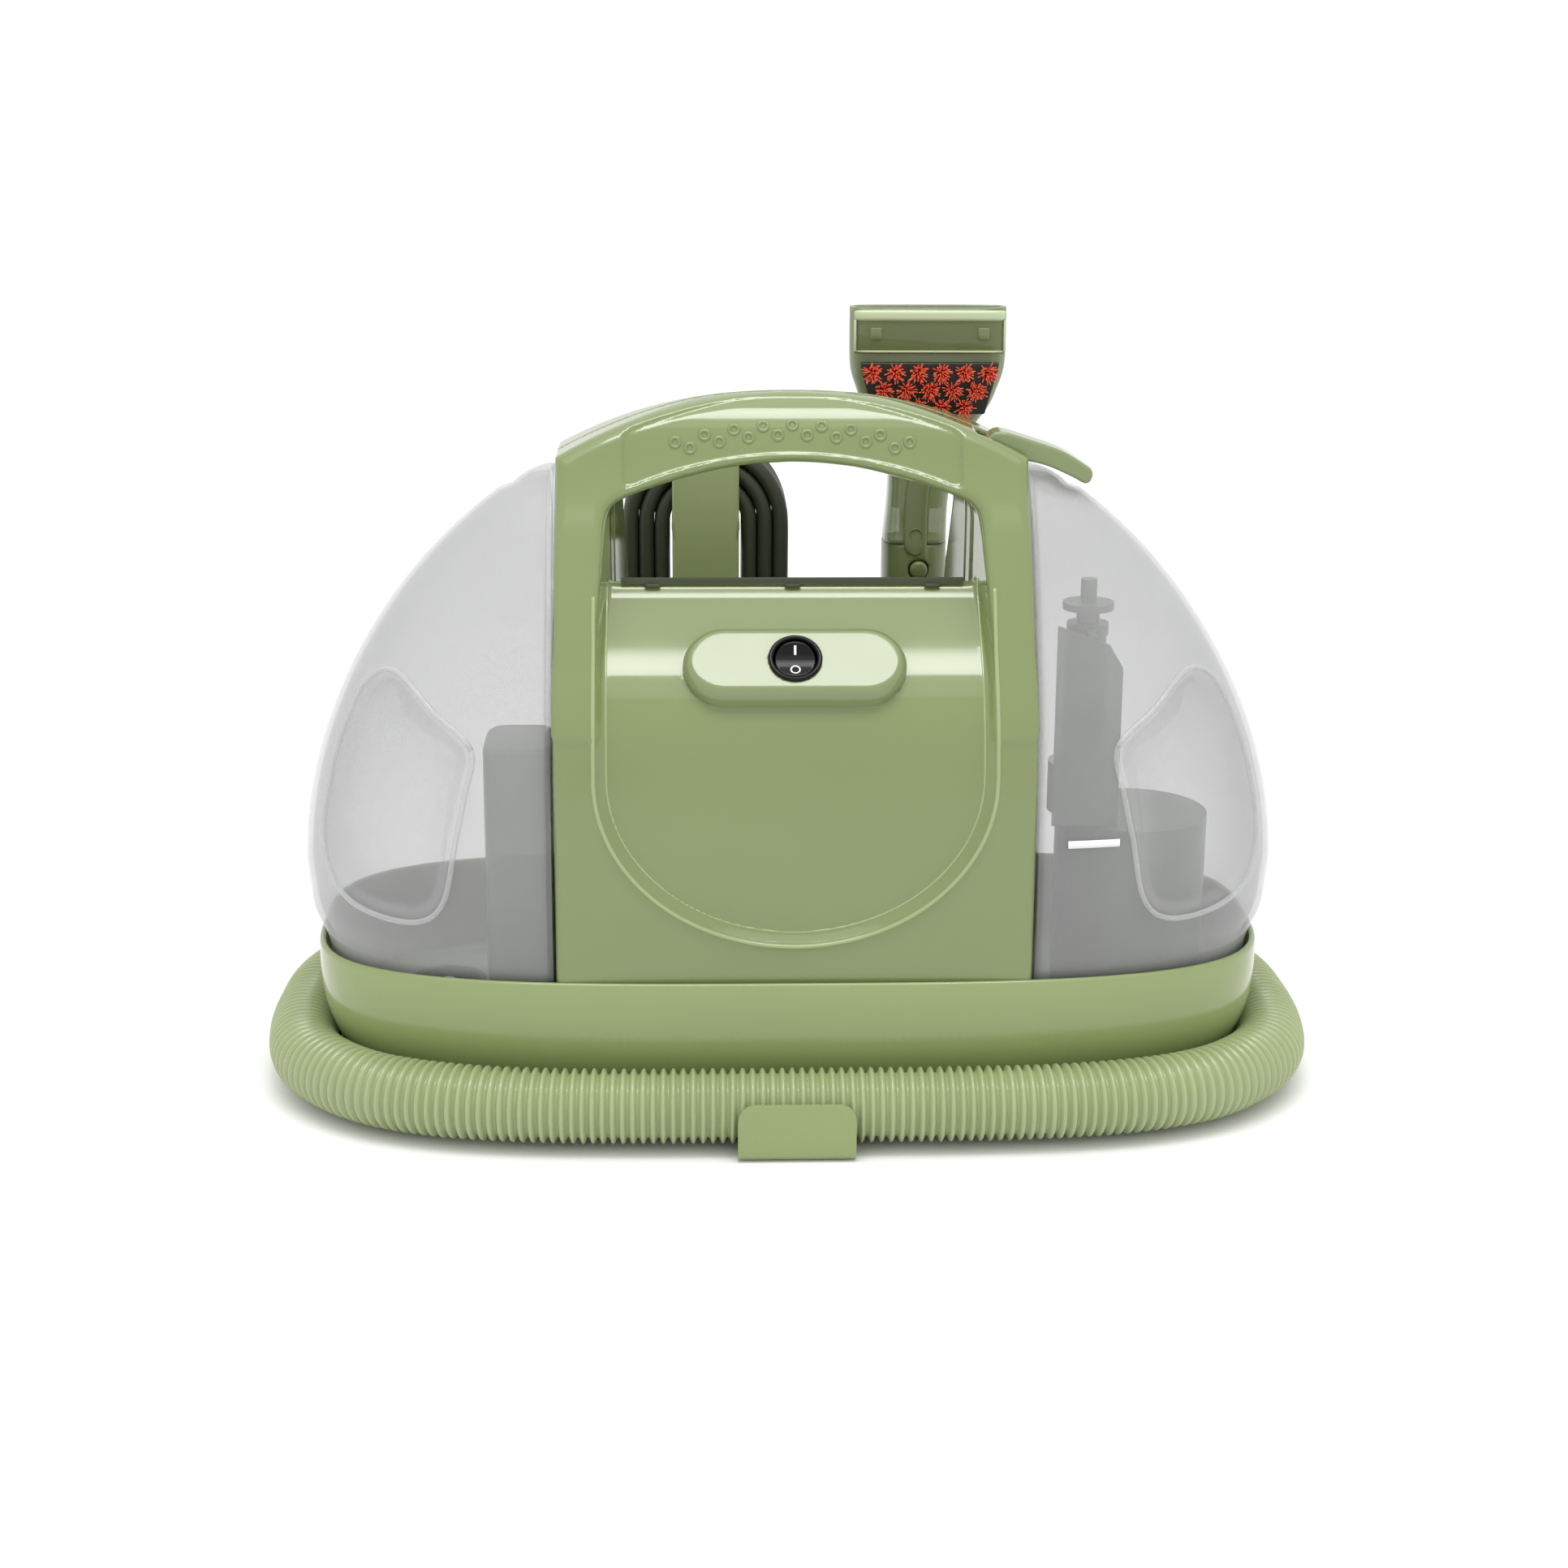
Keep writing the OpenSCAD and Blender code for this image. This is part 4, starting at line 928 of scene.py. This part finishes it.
# ---------------------------------------------------------------- wand and tool
WAND_END, WAND_TOP, WAND_WALL, WAND_POWER = 96, 214.2, 2.6, 2.6
zs = np.linspace(WAND_END, WAND_TOP, 60)
wx = smooth_interp(zs, [96, 119.7, 161.1, 196.6, 214.4], [14.5, 14, 13.8, 14.6, 14.6])
wy = smooth_interp(zs, [96, 119.7, 161.1, 196.6, 214.4], [15, 16.5, 17.5, 18, 16.5])


def wand_sdf(side):
    """One hollow half of the wand, front (1) or rear (-1): the front has a ridge and the button's hole,
    the rear has the trigger's slot."""
    def f(p):
        x, y, z = p.T
        rx, ry = np.interp(z, zs, wx), np.interp(z, zs, wy)
        k = (np.abs(x - WAND_X) / rx) ** WAND_POWER + (np.abs(y - WAND_Y) / ry) ** WAND_POWER
        d = (k ** (1 / WAND_POWER) - 1) * np.minimum(rx, ry)
        d = both(both(d, z - WAND_TOP, 0.8), WAND_END - z, 1.2)
        if side > 0:
            over_x, over_y = np.abs(x - WAND_X - 0.5) - 2.4, np.abs(y - 76.4) - 0.5
            ridge = np.hypot(np.maximum(over_x, 0), np.maximum(over_y, 0)) - 1.6
            d = merge(d, np.maximum(ridge, np.abs(z - 199) - 14), 1.2)
        trigger_slot = np.maximum(np.maximum(np.abs(x - WAND_X) - 6, np.abs(z - 144) - 26), 102 - y)
        d = np.maximum(np.maximum(d, -(d + WAND_WALL)), -trigger_slot)
        button_hole = np.maximum(np.hypot(x - WAND_X - 1, z - 203) - 4.5, y - 80)
        d = np.maximum(d, -button_hole)
        return both(d, side * (y - WAND_Y) + 0.12, 0.5)
    return f


v, f = skin(wand_sdf(1), (43, 72, 94), (77, 94, 216), 1.0)
obj_from("wand_half_front", v, f, M["wand"], replace=["wand_front"], slot="body_green")
v, f = skin(wand_sdf(-1), (43, 90, 94), (77, 112, 216), 1.0)
obj_from("wand_half_rear", v, f, M["wand"], replace=["wand_rear"], slot="body_green")
BUTTON = [(0, 2.3), (5, 2.3), (5, 0.9), (4, 0.9), (4, -3.6), (3.9, -4.8), (3.4, -5.5), (2.4, -5.9), (0, -6)]
o = obj_from("lock_button_cap", *turned(BUTTON, (WAND_X + 1, 78, 203), (0, 1, 0), 40), M["wand"],
             body="lock_button", replace=["lock_button"], slot="dark_plastic")
fix_normals(o)
trigger_poly = smooth_flat([[102, 168], [107, 168], [115, 160], [118.6, 145], [117.8, 128], [114.2, 120.5],
                            [112, 122], [114, 132], [113, 146], [108, 156], [102, 160]], 1.5, closed=True)
F_trigger = field(trigger_poly, (96, 112), (124, 174), 0.5)


def trigger_sdf(p):
    x, y, z = p.T
    return both(F_trigger(y, z), np.abs(x - WAND_X) - 5.4, 1.6)


v, f = skin(trigger_sdf, (52, 98, 116), (68, 122, 172), 0.9)
obj_from("trigger_lever", v, f, M["dark"], body="trigger", replace=["wand_trigger"], slot="dark_plastic")

# by height: half width, half depth and middle of the tool head
TZ = [214.6, 222, 232, 242, 252, 260, 268, 276, 284, 291, 297, 303, 308, 314, 319.5]
TW = [14.4, 14, 13.8, 14.2, 15.6, 18.4, 23.4, 28.8, 32, 34.3, 35, 35.1, 35.1, 35.1, 35.1]
TD = [16, 14.8, 14, 13, 12.5, 12.3, 12.3, 12.2, 12, 12, 11.8, 11, 10, 8.6, 7]
TC = [60, 60.4, 61, 61.8, 62.5, 63.1, 63.6, 64, 64.2, 64.3, 64.4, 64.4, 64.4, 64.4, 64.4]


def tool_rings(o, z0, z1):
    """Rings of the tool's wall, o in from the outside."""
    z = np.linspace(z0, z1, 60)
    w, d, c = smooth_interp(z, TZ, TW) - o, smooth_interp(z, TZ, TD) - o, smooth_interp(z, TZ, TC)
    return [oval(*row, WAND_Y) for row in zip(w, d, [3.6] * 60, z, [72] * 60, c)]


wall_out, wall_in = tool_rings(0, 214.6, 319.5), tool_rings(2.2, 230, 319.5)
obj_from("tool_head", *loft(wall_out + wall_in[::-1]), M["tool"], body="tool", replace=["tool_nozzle"],
         slot="tool_clear")
# the long tongue up the front of the tool, with the ring that marks its lock
TONGUE = ((209.8, 1.2), (210.2, 2.8), (211.2, 4.1), (212.6, 4.9), (214.6, 5.3), (218, 5.3), (226, 5.3),
          (236, 5.3), (246, 5.3), (256, 5.1), (263, 4.4))
tongue = []
for z, w in TONGUE:
    face_y = np.interp(z, [209, 214.6, 222, 232, 242, 252, 263], [75.2, 75.8, 77.2, 78, 79, 79.5, 80.2])
    tongue.append(oval(w, 1.5, 3.0, z, 32, 59.4 + 0.12 * max(0, z - 232), face_y - 0.1))
spot = turned([(2.3, -0.6), (2.45, 0.2), (2.8, 0.26), (3.0, -0.6)], (59.6, 74.9, 219), (0, -1, 0), 36)
o = obj_from("tool_tongue", *join([loft(tongue), spot]), M["wand"], body="tool", slot="body_green")
fix_normals(o)
window = rounded_box(TOOL_X, 79.5, 300, 318.6, 33.6, 1.2, 6, 3, 0.8, 48)
obj_from("tool_lip_window", *window, M["window"], body="tool", replace=["tool_window"], slot="tool_clear")
# the frame round the lip is real; its pale opaque colour is a painted highlight of the clear edges
rim = [rounded_box(TOOL_X, 78.7, 314.6, 319.2, 33.9, 1.5, 6, 3, 1.2, 48),
       rounded_box(TOOL_X, 78.5, 300.6, 301.5, 33.4, 0.5, 6, 2, 0.3, 24)]
rim += [rounded_box(TOOL_X + dx, 78.5, 301, 315, 0.55, 0.6, 5, 2, 0.3, 16) for dx in (-33.3, 33.3)]
obj_from("tool_lip_rim", *join(rim), M["clear"], body="tool", slot="tool_clear")
boss = [rounded_box(TOOL_X + s * 24, 78.6, 306.4, 311.6, 2.6, 1.0, 5, 2, 0.4, 20) for s in (-1, 1)]
obj_from("tool_lip_bosses", *join(boss), M["tool"], body="tool", slot="tool_clear")
backing = np.array([[-31, 296.4], [31, 296.4], [30.6, 293], [25, 273.4], [-25, 273.4], [-30.6, 293]])
o = bevelled("brush_backing", *prism(backing + [TOOL_X, 0], 76.2, 79.2), M["brush"], 0.7, body="tool",
             replace=["brush_plate"], slot="dark_plastic")
fix_normals(o)
# each tuft is a bundle of filaments that fans out from its seat
FILAMENTS, TUFT_PITCH, GOLDEN_ANGLE = 60, 10.3, 2.39996
spots = [(TOOL_X + (i - (count - 1) / 2) * TUFT_PITCH, z)
         for z, count in ((292.2, 6), (284.4, 5), (276.8, 4)) for i in range(count)]
tuft = []
for cx, cz in spots:
    for k in range(FILAMENTS):
        share = math.sqrt((k + 0.5) / FILAMENTS)
        r, a = 1.5 * share, k * GOLDEN_ANGLE + rng.random()
        out_r = 4.7 * share * (0.8 + 0.4 * rng.random())
        beg = np.array([cx + r * math.cos(a), 76.6, cz + r * math.sin(a)])
        tip_y = 68.4 + 0.25 * out_r + rng.random()
        end = np.array([cx + out_r * math.cos(a), tip_y, cz + out_r * math.sin(a)])
        middle = beg * 0.5 + end * 0.5 + [0, -0.7, 0]
        tuft.append(tube(np.array([beg, middle, end]), [0.32, 0.3, 0.22], 5))
obj_from("bristle_tufts", *join(tuft), M["bristle"], body="tool", replace=["bristles"], slot="bristle_red")
SEAT = [(0, 0), (2.3, 0), (2.3, -0.7), (1.9, -0.9), (0, -0.9)]
seats = [turned(SEAT, (cx, 76.3, cz), (0, 1, 0), 16) for cx, cz in spots]
o = obj_from("tuft_seats", *join(seats), M["brush"], body="tool", slot="dark_plastic")
fix_normals(o)
cradle = [rounded_box(WAND_X, 71, 150, 184, 18, 1.9, 6, 2, 0.8, 40)]
cradle += [rounded_box(WAND_X + s * 16.7, 85.4, 156, 178, 1.3, 13, 5, 2, 0.6, 32) for s in (-1, 1)]
obj_from("wand_cradle", *join(cradle), M["dark"], replace=["wand_holder"], slot="dark_plastic")

# ---------------------------------------------------------------- cord wrap
wrap = [rounded_box(WRAP_X, 72.4, 84, 260, 15, 2, 5, 4, 0.9, 64),
        rounded_box(WRAP_X, 112.6, 85, 114, 26, 1.5, 5, 3, 1, 64)]
POST = [(0, 0), (POST_R - 0.1, 0), (POST_R - 0.1, 41), (0, 41)]
wrap += [turned(POST, (WRAP_X, 70.8, z), (0, 1, 0), 72) for z in POST_Z]
wrap.append(rounded_box(WRAP_X, 69.9, 100, 160, 8, 0.8, 5, 2, 0.3, 24))
o = obj_from("wrap_frame", *join(wrap), M["wrap"], replace=["cord_wrap"], slot="wrap_green")
fix_normals(o)
HUB = [(0, 0), (8.7, 0), (8.9, 0.4), (8.9, 3), (8.5, 3.3), (0, 3.4)]
hook = [turned(HUB, (WRAP_X, 112, POST_Z[1]), (0, 1, 0), 48),
        rounded_box(WRAP_X, 113.5, 222, 261.8, 12, 1.45, 4, 3, 0.9, 48)]
o = obj_from("wrap_hook", *join(hook), M["wrap"], body="cord_hook", replace=["cord_hook"], slot="wrap_green")
fix_normals(o)

# ---------------------------------------------------------------- pump spring, shortened by the plunger
turns = np.linspace(0, 9 * np.pi, 160)
SPRING_X, SPRING_Y, SPRING_R = 55, -30, 6.2
wire_line = np.stack([SPRING_X + SPRING_R * np.cos(turns), SPRING_Y + SPRING_R * np.sin(turns),
                      70.1 + 7.9 * turns / turns[-1]], -1)
spring = obj_from("pump_spring_coil", *tube(wire_line, 0.7, 8), M["steel"], replace=["pump_spring"],
                  slot="screw_steel")
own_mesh(spring)

# ---------------------------------------------------------------- materials on the CAD nodes that stay
keep = {
    "base_plate": "dark", "base_screws": "steel", "shell_screws": "steel", "switch_body": "dark",
    "exhaust_grille": "dark", "fan_housing": "dark", "fan_impeller": "alloy", "motor_housing": "dark",
    "motor_stator": "iron", "motor_armature": "iron", "motor_shaft": "steel", "vacuum_duct": "dark",
    "pump_body": "dark", "pump_plunger": "steel", "supply_tube": "tube",
    "spray_tube": "tube", "formula_port_seal": "rubber", "recovery_port_seal": "rubber", "fill_cap": "dark",
    "cap_valve": "white", "recovery_stack": "inner", "tank_baffle": "inner", "tank_float": "white",
    "drain_plug": "dark", "latch_pin": "steel", "hose_port_elbow": "dark", "spray_valve": "white",
    "spray_tip": "dark", "plug_pins": "brass",
}
for node, key in keep.items():
    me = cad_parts[node].data
    if len(me.materials):
        for i in range(len(me.materials)):
            me.materials[i] = M[key]
    else:
        me.materials.append(M[key])

# ---------------------------------------------------------------- floor and light
FLOOR = 90  # half its width in metres, so that its far edge is out of sight
me = bpy.data.meshes.new("floor")
me.from_pydata([(-FLOOR, -FLOOR, 0), (FLOOR, -FLOOR, 0), (FLOOR, FLOOR, 0), (-FLOOR, FLOOR, 0)], [],
               [(0, 1, 2, 3)])
floor = bpy.data.objects.new("floor", me)
scene.collection.objects.link(floor)
me.materials.append(plastic("floor_paper", (0.93, 0.93, 0.93), 0.6, 0.005, spec=0.2))
world = bpy.data.worlds.new("studio")
scene.world = world
world.use_nodes = True
background = world.node_tree.nodes["Background"]
background.inputs[0].default_value = (1, 1, 1, 1)
background.inputs[1].default_value = 1.0
lamp = bpy.data.lights.new("top_soft", "AREA")
lamp.shape = "RECTANGLE"
lamp.size, lamp.size_y, lamp.energy = 0.8, 0.3, 5.8
top = bpy.data.objects.new("top_soft", lamp)
top.location = (0, -0.33, 1.3)
top.rotation_euler = (0, 0, -math.pi)
scene.collection.objects.link(top)
sun = bpy.data.lights.new("sky_soft", "SUN")
sun.energy, sun.angle = 0.55, math.radians(60)
sky = bpy.data.objects.new("sky_soft", sun)
sky.rotation_euler = (math.radians(8), 0, 0)
scene.collection.objects.link(sky)
